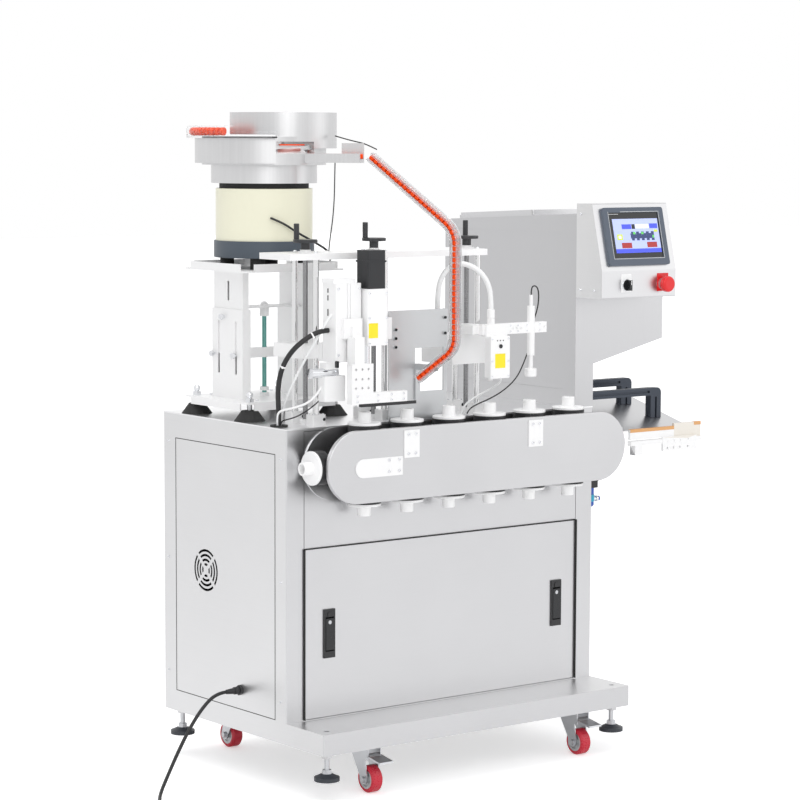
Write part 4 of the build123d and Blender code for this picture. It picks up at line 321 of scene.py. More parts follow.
def followed(obj):
    """The points of a cable's line, in metres, read from the spline with its bevel off."""
    thickness, obj.data.bevel_depth = obj.data.bevel_depth, 0.0
    bpy.context.view_layer.update()
    shown_obj = obj.evaluated_get(bpy.context.evaluated_depsgraph_get())
    thread = bpy.data.meshes.new_from_object(shown_obj)
    points = [v.co.copy() for v in thread.vertices]
    bpy.data.meshes.remove(thread)
    obj.data.bevel_depth = thickness
    return points


def length_of(points):
    return sum((b - a).length for a, b in zip(points, points[1:]))


def link_mesh(name, mesh, coats, angle=35):
    """Turns a finished bmesh into an object with smooth faces and sharp edges."""
    bmesh.ops.remove_doubles(mesh, verts=mesh.verts, dist=1e-6)
    bmesh.ops.recalc_face_normals(mesh, faces=mesh.faces)
    data = bpy.data.meshes.new(name)
    mesh.to_mesh(data)
    mesh.free()
    for coat in coats:
        data.materials.append(finishes[coat])
    data.polygons.foreach_set("use_smooth", [True] * len(data.polygons))
    data.set_sharp_from_angle(angle=math.radians(angle))
    obj = bpy.data.objects.new(name, data)
    bpy.context.scene.collection.objects.link(obj)
    return obj


def tube_mesh(name, path, radius, coat, around=12):
    """A closed round tube whose rings stand square to the path and don't twist."""
    mesh = bmesh.new()
    ahead_of = [(b - a).normalized() for a, b in zip(path, path[1:])]
    ahead_of.append(ahead_of[-1])
    side = ahead_of[0].orthogonal().normalized()
    rings = []
    for place, way in zip(path, ahead_of):
        side = (side - way * side.dot(way)).normalized()
        other = way.cross(side)
        angles = [math.tau * k / around for k in range(around)]
        rings.append([mesh.verts.new(place + (side * math.cos(a) + other * math.sin(a)) * radius * MM)
                      for a in angles])
    for one, two in zip(rings, rings[1:]):
        for k in range(around):
            mesh.faces.new((one[k], one[k - 1], two[k - 1], two[k]))
    mesh.faces.new(rings[0])
    mesh.faces.new(rings[-1])
    return link_mesh(name, mesh, [coat])


print("cable tools ready")

# %% [markdown]
# The mains lead leaves its gland in the side panel, hangs to the floor and runs out of the picture.
# The rest of its two metres lies in a neat double-layered coil there, with the plug beside it. The
# coil is not a shape of its own: it is more points of the same spline, twelve to a turn. Each turn
# shifts to the next lane over the last sixth of its circle, as a hand-wound coil does.

# %% Mains lead
LEAD_R = 4.25
COIL_X, COIL_Y = -268.0, -68.6
LANES = ((55.5, 4.25), (47.0, 4.25), (38.5, 4.25), (42.75, 11.7), (51.25, 11.7))
LEAD_START = [(-42, 190, 216), (-72, 190, 216), (-112, 189, 186), (-150, 186, 142), (-186, 180, 92),
              (-222, 168, 44), (-262, 140, 10), (-296, 90, 4.25), (-318, 32, 4.25), (-323, -26, 4.25)]
LEAD_END = [(-318.5, -112.4, 9), (-314, -138, 12.5), (-301, -142.8, 13)]


def coil_point(turns):
    """A control point of the coil after so many turns from its left side."""
    lane = min(int(turns), len(LANES) - 1)
    after = min(lane + 1, len(LANES) - 1)
    shift = max(0.0, (turns - lane) - 5 / 6) * 6
    shift = shift * shift * (3 - 2 * shift)
    radius = LANES[lane][0] + (LANES[after][0] - LANES[lane][0]) * shift
    z = LANES[lane][1] + (LANES[after][1] - LANES[lane][1]) * shift
    if lane >= 3 and 5 / 6 <= turns - lane:
        z += 1.2
    angle = math.pi + math.tau * turns
    return (COIL_X + radius * 1.035 * math.cos(angle), COIL_Y + radius * 1.035 * math.sin(angle), z)


coil_points = [coil_point(k / 12) for k in range(1, 12 * len(LANES) + 1)]
mains_lead = line_of("mains_lead", LEAD_START + coil_points + LEAD_END, LEAD_R, "cable_rubber")
lead_length = length_of(followed(mains_lead))
print("mains lead", round(lead_length, 3), "m")

# %% [markdown]
# The plug is a moulded rubber body with a waist for the fingers, two brass pins and a neck that the
# lead comes out of. A block with rounded edges is enough for the body, and the pins and the neck are
# turned forms: rings of corners at stated radii, joined one to the next. Both helpers are used for
# nearly every small piece further down.

# %% Blocks and turned forms
def block(mesh, low, high, edge=0.6, slot=0, put=None):
    """A box between two corners, in millimetres, with rounded edges; `put` may lay it on a plane."""
    made = bmesh.ops.create_cube(mesh, size=1.0)["verts"]
    low, high = Vector(low), Vector(high)
    for v in made:
        place = (low + high) / 2 + Vector(a * b for a, b in zip(v.co, high - low))
        v.co = at(*(put(place) if put else place))
    for f in {f for v in made for f in v.link_faces}:
        f.material_index = slot
    edges = list({e for v in made for e in v.link_edges})
    bmesh.ops.bevel(mesh, geom=edges, offset=edge * MM, segments=2, affect="EDGES")


def turned(mesh, foot, axis, profile, around=24, slot=0):
    """Rings of (radius, height) along an axis from a foot, in millimetres, joined into one form."""
    axis = Vector(axis).normalized()
    side = axis.orthogonal().normalized()
    other = axis.cross(side)
    rings = []
    for radius, height in profile:
        middle = at(*(Vector(foot) + axis * height))
        if radius < 0.01:
            rings.append([mesh.verts.new(middle)])
            continue
        angles = [math.tau * k / around for k in range(around)]
        rings.append([mesh.verts.new(middle + (side * math.cos(a) + other * math.sin(a)) * radius * MM)
                      for a in angles])
    for one, two in zip(rings, rings[1:]):
        for k in range(around):
            corners = (one[k % len(one)], one[(k + 1) % len(one)],
                       two[(k + 1) % len(two)], two[k % len(two)])
            unique = list(dict.fromkeys(corners))
            if len(unique) > 2:
                mesh.faces.new(unique).material_index = slot


def barrel(mesh, foot, axis, length, radius, edge=0.5, around=24, slot=0):
    """A closed round bar with a small chamfer at both ends."""
    profile = [(0, 0), (radius - edge, 0), (radius, edge), (radius, length - edge),
               (radius - edge, length), (0, length)]
    turned(mesh, foot, axis, profile, around, slot)


def piece(name, body, mesh, *coats, angle=35):
    obj = link_mesh(name, mesh, coats, angle)
    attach(obj, body)
    return obj


# %% Plug and lead
plug_mesh = bmesh.new()
PLUG_X, PLUG_Y, PLUG_Z = -267.0, -142.8, 13.0
block(plug_mesh, (PLUG_X - 22, PLUG_Y - 12.5, 1.5), (PLUG_X + 13, PLUG_Y + 12.5, 24.5), 4.0)
for rib in range(4):
    x = PLUG_X - 17 + 7 * rib
    block(plug_mesh, (x, PLUG_Y - 13.6, 4), (x + 3, PLUG_Y + 13.6, 22), 1.2)
turned(plug_mesh, (PLUG_X - 34, PLUG_Y, PLUG_Z), (1, 0, 0),
       [(0, 0), (5.0, 0), (5.9, 3), (5.2, 5), (5.9, 7), (5.4, 9), (6.0, 14), (0, 14)])
for j in (-1, 1):
    barrel(plug_mesh, (PLUG_X + 11, PLUG_Y + 9.5 * j, PLUG_Z), (1, 0, 0), 21.5, 2.35, 0.8, 16, 1)
mains_plug = piece("mains_plug", "machine", plug_mesh, "cable_rubber", "brass")
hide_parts("power_cord_coil")
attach(mains_lead, "machine")
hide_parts("power_cord")
print("plug and lead placed")

# %% [markdown]
# A white silicone hose arches from the filling nozzle to its union nut. Both ends sit on the filling
# carriage, so the hose simply rides on it. The black cable bundle is different: its foot goes into
# the deck and its head moves with the gripper carriage, so it has to bend between the two.

# %% Filling hose
HOSE_R = 6.5
HOSE = [(576, -45, 1124), (576, -45, 1162), (567, -38, 1197), (548, -22, 1224), (520, 2, 1237),
        (497, 22, 1226), (480, 34, 1196), (472, 34, 1152), (472, 34, 1085)]
filling_hose = line_of("filling_hose_line", HOSE, HOSE_R, "milky_tube")
hose_length = length_of(followed(filling_hose))
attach(filling_hose, "filling_carriage")
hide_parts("filling_hose")
print("filling hose", round(hose_length, 3), "m")

# %% Cable bundle with its ties
BUNDLE_R = 6.0
BUNDLE = [(107, -18, 1090), (84, -18, 1090), (52, -8, 1074), (22, 10, 1044), (10, 34, 1002),
          (12, 52, 952), (21, 61, 902), (24, 64, 853)]
bundle_line = line_of("bundle_line", BUNDLE, BUNDLE_R, "cable_rubber")
bundle_path = followed(bundle_line)
bpy.data.objects.remove(bundle_line)
cable_bundle = tube_mesh("cable_bundle_sleeve", bundle_path, BUNDLE_R, "cable_rubber", 16)
tie_mesh = bmesh.new()
for share in (0.18, 0.56):
    k = int(share * len(bundle_path))
    way = (bundle_path[k + 1] - bundle_path[k]).normalized()
    foot = (bundle_path[k] - ORIGIN) / MM
    turned(tie_mesh, foot, way, [(5.6, -1.8), (7.0, -1.8), (7.0, 1.8), (5.6, 1.8), (5.6, -1.8)], 16)
    head = foot + way.orthogonal().normalized() * 7.5
    barrel(tie_mesh, head - way * 2.5, way, 5, 2.2, 0.6, 10)
bundle_ties = link_mesh("bundle_ties", tie_mesh, ["white_plastic"])
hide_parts("cable_bundle")
for obj in (cable_bundle, bundle_ties):
    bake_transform(obj)
print("cable bundle", round(length_of(bundle_path), 3), "m")

# %% [markdown]
# Thin cables and air lines make the stations look used. Each one has a name, a radius, a coat, the
# body or bodies that it follows and a short route. Those that run down to the deck from a carriage
# are made as mesh tubes, as the bundle is.

# %% Thin lines
THIN_LINES = (
    ("air_line_white", 3.2, "milky_tube", "gripper_carriage",
     [(108, -30, 1128), (100, -30, 1120), (84, -6, 1072), (56, 10, 1016), (38, 34, 958), (34, 60, 912),
      (32, 68, 880), (30, 68, 856)]),
    ("air_line_grey", 2.8, "white_plastic", "gripper_carriage",
     [(92, -30, 980), (84, -30, 968), (72, -26, 946), (52, -16, 922), (30, 20, 908), (17, 56, 900),
      (18, 62, 880), (19, 62, 856)]),
    ("sensor_lead_black", 1.6, "cable_rubber", "gripper_carriage",
     [(96, -22, 940), (84, -20, 930), (64, -14, 912), (44, 12, 890), (30, 40, 880), (25, 58, 876),
      (24, 60, 856)]),
    ("nozzle_lead", 2.4, "milky_tube", "filling_carriage",
     [(590, -66, 962), (597, -61, 951), (603, -44, 940), (601, -20, 928), (585, 0, 914),
      (558, 8, 900), (538, 12, 884), (532, 14, 864)]),
    ("probe_lead", 1.6, "cable_rubber", "filling_carriage",
     [(702, -34, 1010), (692, -32, 984), (676, -24, 948), (650, -10, 920), (618, 4, 900),
      (584, 12, 888), (560, 18, 876), (556, 20, 864)]),
    ("bowl_side_lead", 1.4, "cable_rubber", "stand_top",
     [(229, 123, 1480), (228, 123, 1440), (227, 123, 1394), (223, 123, 1348), (216, 123, 1306),
      (213, 123, 1288), (211, 123, 1268)]),
)
for name, radius, coat, carriage, route in THIN_LINES:
    guide = line_of(name + "_guide", route, radius, coat)
    path = followed(guide)
    bpy.data.objects.remove(guide)
    obj = tube_mesh(name, path, radius, coat, 10)
    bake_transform(obj)
    print(name, round(length_of(path), 3), "m")

# %% Lines that stay on one body
STILL_LINES = (
    ("probe_loop", 1.7, "cable_rubber", "filling_carriage",
     [(704, -45, 1153), (704, -45, 1168), (709, -45, 1177), (720, -46, 1176), (725, -48, 1164),
      (725, -49, 1140), (720, -47, 1110), (713, -41, 1086)]),
    ("bowl_lead", 2.6, "cable_rubber", "stand_top",
     [(104, 214, 1346), (112, 206, 1342), (136, 196, 1330), (165, 193, 1312), (215, 195, 1289),
      (256, 200, 1270), (274, 204, 1256), (275, 206, 1240)]),
    ("tray_sensor_lead", 1.5, "cable_rubber", "bowl",
     [(260, 165, 1542), (268, 130, 1534), (277, 100, 1528), (286, 76, 1523), (303, 55, 1510)]),
)
for name, radius, coat, body, route in STILL_LINES:
    obj = line_of(name, route, radius, coat)
    path = followed(obj)
    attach(obj, body)
    print(name, round(length_of(path), 3), "m")

# %% [markdown]
# Many solids of the model are several parts in one: a post with its clamp and bolt, a holder with
# its black base and white disc. The mesh itself stays as it is. Only the finish of each triangle is
# chosen, by where the triangle lies: `dress` takes a default finish and then tests on x, y and z.

# %% Dress a node
def dress(node, default, *tests):
    """Gives a node's triangles their finishes, each by a test on the triangle's middle."""
    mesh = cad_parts[node].data
    mesh.materials.clear()
    mesh.materials.append(finishes[default])
    middles = np.empty(len(mesh.polygons) * 3)
    mesh.polygons.foreach_get("center", middles)
    x, y, z = ((middles.reshape(-1, 3) - np.array(ORIGIN)) / MM).T
    chosen = np.zeros(len(mesh.polygons), dtype=np.int32)
    for slot, (coat, test) in enumerate(tests, 1):
        mesh.materials.append(finishes[coat])
        chosen[test(x, y, z)] = slot
    mesh.polygons.foreach_set("material_index", chosen)


def near(a, b, places):
    """The distance to the nearest of several places, in a plane."""
    return np.min([np.hypot(a - p, b - q) for p, q in places], axis=0)


# %% Dress the sheet metal
LATCHES = (123.0, 831.0)
GROMMET = (24.0, 64.0)
# Faces of the cabinet, base frame, side panel and housing that turn left or up take the lighter sheet,
# which is painted light.
dress("cabinet_shell", "sheet_level", ("sheet_painted_lit_face", lambda x, y, z: x < 0.05))
dress("base_frame", "frame_sheet", ("sheet_painted_lit_face", lambda x, y, z: (z > 161.9) | (x < 0.05)))
dress("conveyor_frame", "frame_sheet")
dress("tower_shell", "sheet_upright")
dress("tower_lid", "sheet_level")
dress("side_panel", "sheet_painted_lit_face", ("black_plastic", lambda x, y, z: x > 2.05))
dress("deck_plate", "deck_sheet", ("dark_rubber", lambda x, y, z: near(x, y, [GROMMET]) < 21.5))
dress("front_door", "sheet_level", ("black_plastic", lambda x, y, z: (
    np.min([abs(x - a) for a in LATCHES], axis=0) < 16.1) & (abs(z - 369) < 58.7)))
dress("conveyor_cover", "sheet_level", ("white_anodised", lambda x, y, z: y < -100.05))
dress("outfeed_slide", "sheet_level",
      ("white_anodised", lambda x, y, z: (y < -61.5) & ((z < 775.5) | (x < 1168.2))),
      ("cream_plate", lambda x, y, z: (x > 1168) & (z > 772.5) & (z < 810.5) & (y < -61.5)))
dress("hmi_housing", "sheet_level", ("sheet_painted_lit_face", lambda x, y, z: x < 890.05),
      ("white_plastic", lambda x, y, z: (y < -97.05) & (x < 1030)),
      ("stop_red", lambda x, y, z: (y < -97.05) & (x > 1030)),
      ("grey_anodised", lambda x, y, z: (y < -98.05) & (near(x, z, [(1095, 1173)]) < 15.2)))
print("sheet metal dressed")

# %% Dress the conveyor and the wheels
HOLDER_REACH = 93.05
for node in ("top_run", "bottom_run"):
    dress(node, "black_plastic", ("white_plastic", lambda x, y, z: abs(z - CHAIN_Z) > HOLDER_REACH))
for node, centre in (("tail_sprocket", SPROCKETS[0]), ("drive_sprocket", SPROCKETS[1])):
    dress(node, "black_plastic",
          ("white_plastic", lambda x, y, z: abs(x - centre) > HOLDER_REACH))
for side in ("left", "right"):
    dress("door_latch_" + side, "black_gloss")
    dress("brake_pedal_front_" + side, "zinc_plate")
    for row in ("front", "rear"):
        name = row + "_" + side
        dress("caster_fork_" + name, "zinc_plate", ("seal_orange", lambda x, y, z: z > 107.05))
        low, high = (Vector(c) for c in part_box("caster_wheel_" + name))
        hub = ((low + high) / 2 - ORIGIN) / MM
        dress("caster_wheel_" + name, "red_tyre",
              ("grey_anodised", lambda x, y, z: near(y, z, [(hub.y, hub.z)]) < 23.45))
dress("levelling_feet", "foot_rubber", ("zinc_plate", lambda x, y, z: z > 66.5))
print("conveyor and wheels dressed")

# %% Dress the stations
POSTS = [(x, y) for x in (110, 312, 598) for y in (35, 121)]
dress("station_posts", "ground_rod",
      ("white_anodised", lambda x, y, z: (z < 888.1) & (near(x, y, POSTS) > 7.7)),
      ("black_gloss", lambda x, y, z: (near(x, z, [(a + 13, 877) for a, b in POSTS]) < 4.4)
       & (np.min([abs(y - (b - 17.5)) for a, b in POSTS], axis=0) < 2.3)))
dress("top_bridge", "white_anodised", ("white_plastic", lambda x, y, z: z > 1268.05))
for i in (1, 2, 3):
    dress(f"handwheel_{i}", "black_paint", ("screw_steel", lambda x, y, z: z < 1276))
dress("gripper_head", "white_anodised",
      ("polished_steel", lambda x, y, z: (near(y, z, [(-28, 992)]) < 12.6) & (x < 122.1)))
dress("gripper_jaws", "white_anodised", ("black_plastic", lambda x, y, z: z < 919.9))
dress("capping_head", "white_anodised", ("motor_paint", lambda x, y, z: z > 1186.1))
dress("capping_chuck", "polished_steel")
dress("filling_head", "white_anodised",
      ("black_gloss", lambda x, y, z: (y < -82.05) & (near(x, z, [(577, 1036)]) < 5.2)))
dress("track_plate", "grey_anodised")
dress("guide_arms", "arm_dark")
dress("cap_chute", "clear_rail")
dress("cap_row", "cap_orange")
print("stations dressed")

# %% Dress the bowl and its stand
BOWL_X, BOWL_Y = 161.0, 323.0
MOUNTS = [(BOWL_X + a, BOWL_Y + b) for a in (-122, 122) for b in (-115, 115)]
dress("stand_base", "white_anodised",
      ("teal_rod", lambda x, y, z: near(x, y, [(BOWL_X, BOWL_Y)]) < 5.7),
      ("polished_steel", lambda x, y, z: (near(x, y, MOUNTS) < 12.9) & (z > 907.1) & (z < 930.1)))
dress("stand_head", "white_anodised")
dress("rubber_mounts", "dark_rubber", ("polished_steel", lambda x, y, z: z > 887.05))
dress("bowl_drive", "drive_cream",
      ("drive_slate", lambda x, y, z: (z < 1289.05) & (z > 1247.5)),
      ("dark_rubber", lambda x, y, z: z < 1247.5))
dress("feeder_bowl", "bowl_steel_painted_bands", ("clear_plastic", lambda x, y, z: (z > 1540.1) & (z < 1554.1) & (
    abs(np.hypot(x - BOWL_X, y - BOWL_Y) - 186.7) < 1.6)), ("dark_rubber", lambda x, y, z: z < 1427.9))
print("bowl dressed")

# %% Dress the rest
REST = {"hmi_panel": "bezel_blue", "selector_knob": "black_gloss", "estop_button": "stop_red",
        "dosing_pump": "white_anodised", "conveyor_gearmotor": "motor_paint",
        "cord_gland": "black_plastic", "control_gear": "box_grey", "fan_rotor": "black_plastic",
        "filling_hose": "milky_tube", "cable_bundle": "cable_rubber", "power_cord": "cable_rubber",
        "power_cord_coil": "cable_rubber"}
for node, coat in REST.items():
    dress(node, coat)
dress("air_regulator", "black_plastic", ("fitting_blue", lambda x, y, z: z < 650))
own = set(finishes.values())
print("nodes still bare:", [n for n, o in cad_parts.items() if o.data.materials[0] not in own])

# %% [markdown]
# Screws and caps repeat in dozens, so one Geometry Nodes tree sets them all. It takes a cloud of
# points, and every point carries two directions: `aim` for the part's own axis and `across` for its
# width. The tree puts a copy of a small pattern part on each point, turns it, gives it a random
# twist about its axis, and hands back one plain mesh.

# %% A tree that sets parts on points
def parts_tree():
    tree = bpy.data.node_groups.new("parts_on_points", "GeometryNodeTree")
    for name, kind in (("Points", "Geometry"), ("Part", "Object"), ("Size", "Float"),
                       ("Twist", "Float"), ("Seed", "Int"), ("Finish", "Material")):
        tree.interface.new_socket(name, in_out="INPUT", socket_type="NodeSocket" + kind)
    tree.interface.new_socket("Parts", in_out="OUTPUT", socket_type="NodeSocketGeometry")
    new, link = tree.nodes.new, tree.links.new
    given, made = new("NodeGroupInput"), new("NodeGroupOutput")
    part = new("GeometryNodeObjectInfo")
    link(given.outputs["Part"], part.inputs["Object"])
    turned_to = None
    for name, axis, pivot in (("aim", "Z", "AUTO"), ("across", "X", "Z")):
        wanted = new("GeometryNodeInputNamedAttribute")
        wanted.data_type = "FLOAT_VECTOR"
        wanted.inputs["Name"].default_value = name
        align = new("FunctionNodeAlignRotationToVector")
        align.axis, align.pivot_axis = axis, pivot
        link(wanted.outputs["Attribute"], align.inputs["Vector"])
        if turned_to:
            link(turned_to, align.inputs["Rotation"])
        turned_to = align.outputs["Rotation"]
    copies = new("GeometryNodeInstanceOnPoints")
    link(given.outputs["Points"], copies.inputs["Points"])
    link(part.outputs["Geometry"], copies.inputs["Instance"])
    link(turned_to, copies.inputs["Rotation"])
    link(given.outputs["Size"], copies.inputs["Scale"])
    chance = new("FunctionNodeRandomValue")
    link(given.outputs["Twist"], chance.inputs["Max"])
    link(given.outputs["Seed"], chance.inputs["Seed"])
    about = new("ShaderNodeCombineXYZ")
    link(chance.outputs["Value"], about.inputs["Z"])
    twist = new("GeometryNodeRotateInstances")
    link(copies.outputs["Instances"], twist.inputs["Instances"])
    link(about.outputs[0], twist.inputs["Rotation"])
    real, coat = new("GeometryNodeRealizeInstances"), new("GeometryNodeSetMaterial")
    link(twist.outputs["Instances"], real.inputs["Geometry"])
    link(real.outputs["Geometry"], coat.inputs["Geometry"])
    link(given.outputs["Finish"], coat.inputs["Material"])
    link(coat.outputs["Geometry"], made.inputs["Parts"])
    return tree


PARTS_TREE = parts_tree()
print("tree nodes", len(PARTS_TREE.nodes))


# %% Set parts on points
def set_parts(name, body, pattern, coat, size, places, twist=0.0, seed=1):
    """One mesh of many copies. A place is a point, its aim and, if it matters, its across."""
    cloud = bpy.data.meshes.new(name + "_points")
    cloud.from_pydata([at(*p[0]) for p in places], [], [])
    for word, column in (("aim", 1), ("across", 2)):
        layer = cloud.attributes.new(word, "FLOAT_VECTOR", "POINT")
        for item, p in zip(layer.data, places):
            item.vector = Vector(p[column]) if len(p) > column else Vector(p[1]).orthogonal()
    carrier = bpy.data.objects.new(name + "_carrier", cloud)
    bpy.context.scene.collection.objects.link(carrier)
    modifier = carrier.modifiers.new("parts", "NODES")
    modifier.node_group = PARTS_TREE
    values = {"Part": pattern, "Size": size, "Twist": twist, "Seed": seed, "Finish": finishes[coat]}
    for item in PARTS_TREE.interface.items_tree:
        if item.in_out == "INPUT" and item.name in values:
            modifier[item.identifier] = values[item.name]
    bpy.context.view_layer.update()
    ready = carrier.evaluated_get(bpy.context.evaluated_depsgraph_get())
    data = bpy.data.meshes.new_from_object(ready)
    data.name = name
    bpy.data.objects.remove(carrier)
    obj = bpy.data.objects.new(name, data)
    bpy.context.scene.collection.objects.link(obj)
    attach(obj, body)
    return obj


PATTERN_PLACE = tuple(-ORIGIN / MM)


def pattern_part(name, profile, around=10, flat=1.0):
    """A small turned form about the scene's own origin, to be copied by the tree."""
    mesh = bmesh.new()
    turned(mesh, PATTERN_PLACE, (0, 0, 1), profile, around)
    for v in mesh.verts:
        v.co.y *= flat
    return link_mesh(name, mesh, ["polished_steel"])


socket_screw = pattern_part("socket_screw", [(0, 0.45), (0.42, 0.45), (0.5, 0.86), (0.62, 0.9),
                                             (0.88, 0.9), (1.0, 0.76), (1.0, -0.05), (0, -0.05)])
CAP = [(0, -6), (8.6, -6), (10.8, -5.2), (11.3, -4), (11.3, 3.6), (10.8, 4.8), (7.0, 6),
       (6.4, 4.6), (0, 4.6)]
stacked_cap = pattern_part("stacked_cap", CAP, 14, 0.70)
round_cap = pattern_part("round_cap", CAP, 14)
print("patterns", socket_screw.name, stacked_cap.name)

# %% [markdown]
# The screws are set by list: the body they ride on, the size of the head, the way they face and
# their places. Stainless screws hold the conveyor's bracket plates, the carriages and the covers,
# and dark ones hold the track plate.

# %% Screws
FRONT, LEFT, RIGHT, UP = (0, -1, 0), (-1, 0, 0), (1, 0, 0), (0, 0, 1)
SCREWS = (
    ("cover_screws", "machine", "polished_steel", 3.6, FRONT,
     [(x + along, -103, z) for along in (0, 384) for z in (843, 797) for x in (280, 301)]
     + [(x, -103, z) for x in (222, 252) for z in (786, 759)]),
    ("side_panel_screws", "machine", "polished_steel", 3.0, LEFT,
     [(0, y, z) for y in (22, 508) for z in (215, 500, 790)]),
    ("tower_screws", "machine", "polished_steel", 3.2, LEFT,
     [(890, -16, 1350), (890, -16, 1160), (890, -70, 1160)]),
    ("top_plate_screws", "machine", "polished_steel", 4.5, UP,
     [(x, y, 1268) for x, y in POSTS]),
    ("clamp_screws", "machine", "polished_steel", 2.6, UP,
     [(x + dx, y + dy, 888) for x, y in POSTS for dx in (-14, 14) for dy in (-9, 9)]),
    ("gripper_screws", "gripper_carriage", "polished_steel", 3.4, FRONT,
     [(x, -50, z) for x in (113, 174) for z in (1034, 1188)]),
    ("jaw_screws", "jaws", "polished_steel", 2.8, FRONT,
     [(x, -88, z) for x in (140, 200, 240, 276) for z in (926, 939)]),
    ("capping_screws", "capping_carriage", "polished_steel", 2.6, FRONT,
     [(x, -70, z) for x in (188.5, 238.5) for z in (1059, 1118, 1176)]),
    ("valve_screws", "filling_carriage", "polished_steel", 2.4, FRONT,
     [(x, -82, z) for x in (550.5, 601.5) for z in (963, 1000, 1054)]),
    ("arm_screws", "filling_carriage", "polished_steel", 2.4, FRONT,
     [(x, -53, z) for x in (632, 655, 684, 725) for z in (1068, 1082)]),
    ("track_screws", "machine", "black_gloss", 3.6, FRONT,
     [(317, -3, z) for z in (1040, 1061, 1082)] + [(468, -2, z) for z in (1068, 1106)]),
    ("stand_screws", "machine", "polished_steel", 4.0, UP,
     [(BOWL_X + a, BOWL_Y + b, 907) for a in (-90, 90) for b in (-100, 100)]),
)
for name, body, coat, size, way, places in SCREWS:
    set_parts(name, body, socket_screw, coat, size, [(p, way) for p in places], 3.0)
print("screw rows", len(SCREWS))

# %% [markdown]
# Orange caps fill the chute from the bowl down to the capping station. The chute bends twice, so its
# middle line is two straight runs joined by two arcs. Points are set along it a cap apart, with the
# run's direction as the aim and the chute's width as the across.

# %% The chute's middle line
CHUTE_FOOT = Vector((405, -120, 0))
CHUTE_TURN = math.radians(-54.8)
ALONG = Vector((math.cos(CHUTE_TURN), math.sin(CHUTE_TURN), 0))
ACROSS = Vector((math.sin(CHUTE_TURN), -math.cos(CHUTE_TURN), 0))
CHUTE_CORNERS = [(-212, 1494), (0, 1319), (0, 1040), (-92, 965)]
CHUTE_BENDS = (70, 55)


def chute_line(step):
    """Places and directions along the chute, each a step apart, in its own plane."""
    corners = [Vector(c) for c in CHUTE_CORNERS]
    dense = [corners[0]]
    for one, bend, two, radius in zip(corners, corners[1:], corners[2:], CHUTE_BENDS):
        back, on = (one - bend).normalized(), (two - bend).normalized()
        half = back.angle(on) / 2
        start = bend + back * radius / math.tan(half)
        middle = bend + (back + on).normalized() * radius / math.sin(half)
        first, last = start - middle, bend + on * radius / math.tan(half) - middle
        for k in range(25):
            share = k / 24
            dense.append(middle + first.lerp(last, share).normalized() * radius)
    dense.append(corners[-1])
    lengths = [0.0]
    for a, b in zip(dense, dense[1:]):
        lengths.append(lengths[-1] + (b - a).length)
    count = int(lengths[-1] // step)
    found = []
    for i in range(count):
        wanted = (i + 0.5) * lengths[-1] / count
        k = max(j for j in range(len(lengths) - 1) if lengths[j] <= wanted)
        share = (wanted - lengths[k]) / (lengths[k + 1] - lengths[k])
        found.append((dense[k].lerp(dense[k + 1], share), (dense[k + 1] - dense[k]).normalized()))
    return found


# %% Caps in the chute and on the bowl
CAP_STEP = 13.2
chute_caps = [(CHUTE_FOOT + ALONG * p.x + Vector((0, 0, p.y)),
               ALONG * d.x + Vector((0, 0, d.y)), ACROSS) for p, d in chute_line(CAP_STEP)]
caps = set_parts("chute_caps", "machine", stacked_cap, "cap_orange", 1.0, chute_caps)
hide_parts("cap_row")


def round_bowl(radius, angle, z):
    """A place round the bowl's axis, with its angle in degrees."""
    a = math.radians(angle)
    return (BOWL_X + radius * math.cos(a), BOWL_Y + radius * math.sin(a), z)


track_caps = []
for k in range(22):
    a = math.radians(98 + 4.9 * k)
    track_caps.append((round_bowl(172, 98 + 4.9 * k, 1551.6), (-math.sin(a), math.cos(a), 0)))
tray_caps = [(CHUTE_FOOT + ALONG * s + Vector((0, 0, 1493.5)), UP) for s in range(-380, -222, 23)]
set_parts("track_caps", "bowl", round_cap, "cap_orange", 0.88, track_caps, 6.0)
set_parts("tray_caps", "bowl", round_cap, "cap_orange", 1.0, tray_caps, 6.0, 2)
print("caps", len(chute_caps) + len(track_caps) + len(tray_caps))

# %% [markdown]
# A clear cover keeps the caps on the bowl's outer track. It is a thin strip bent round the bowl, so
# its mesh is swept: the same small outline is set at every few degrees and joined to the next.

# %% Clear cover over the track
def swept_ring(mesh, outline, start, end, step=4.0, slot=0):
    """An outline of (radius, z) turned about the bowl's axis from one angle to another."""
    count = int(abs(end - start) / step)
    rows = [[mesh.verts.new(at(*round_bowl(r, start + (end - start) * k / count, z)))
             for r, z in outline] for k in range(count + 1)]
    for one, two in zip(rows, rows[1:]):
        for k in range(len(outline)):
            mesh.faces.new((one[k - 1], one[k], two[k], two[k - 1])).material_index = slot
    mesh.faces.new(rows[0]).material_index = slot
    mesh.faces.new(rows[-1]).material_index = slot


cover_mesh = bmesh.new()
swept_ring(cover_mesh, [(152, 1564), (187, 1564), (187, 1554), (188.4, 1554), (188.4, 1565.5),
                        (152, 1565.5)], 96, 206)
piece("track_cover", "bowl", cover_mesh, "clear_plastic")
pocket_mesh = bmesh.new()
swept_ring(pocket_mesh, [(141, 1519), (149, 1519), (149, 1522), (141, 1522)], -110, -84, 3.0)
piece("pocket_caps", "bowl", pocket_mesh, "cap_orange")
print("bowl pieces made")

# %% [markdown]
# The operator panel leans back, so its picture is laid out on its own plane: u runs across, w runs
# up the slope, and a third number stands off the glass. The picture is generic, with coloured
# fields and no words. Each field is a very thin plate with a little light of its own.

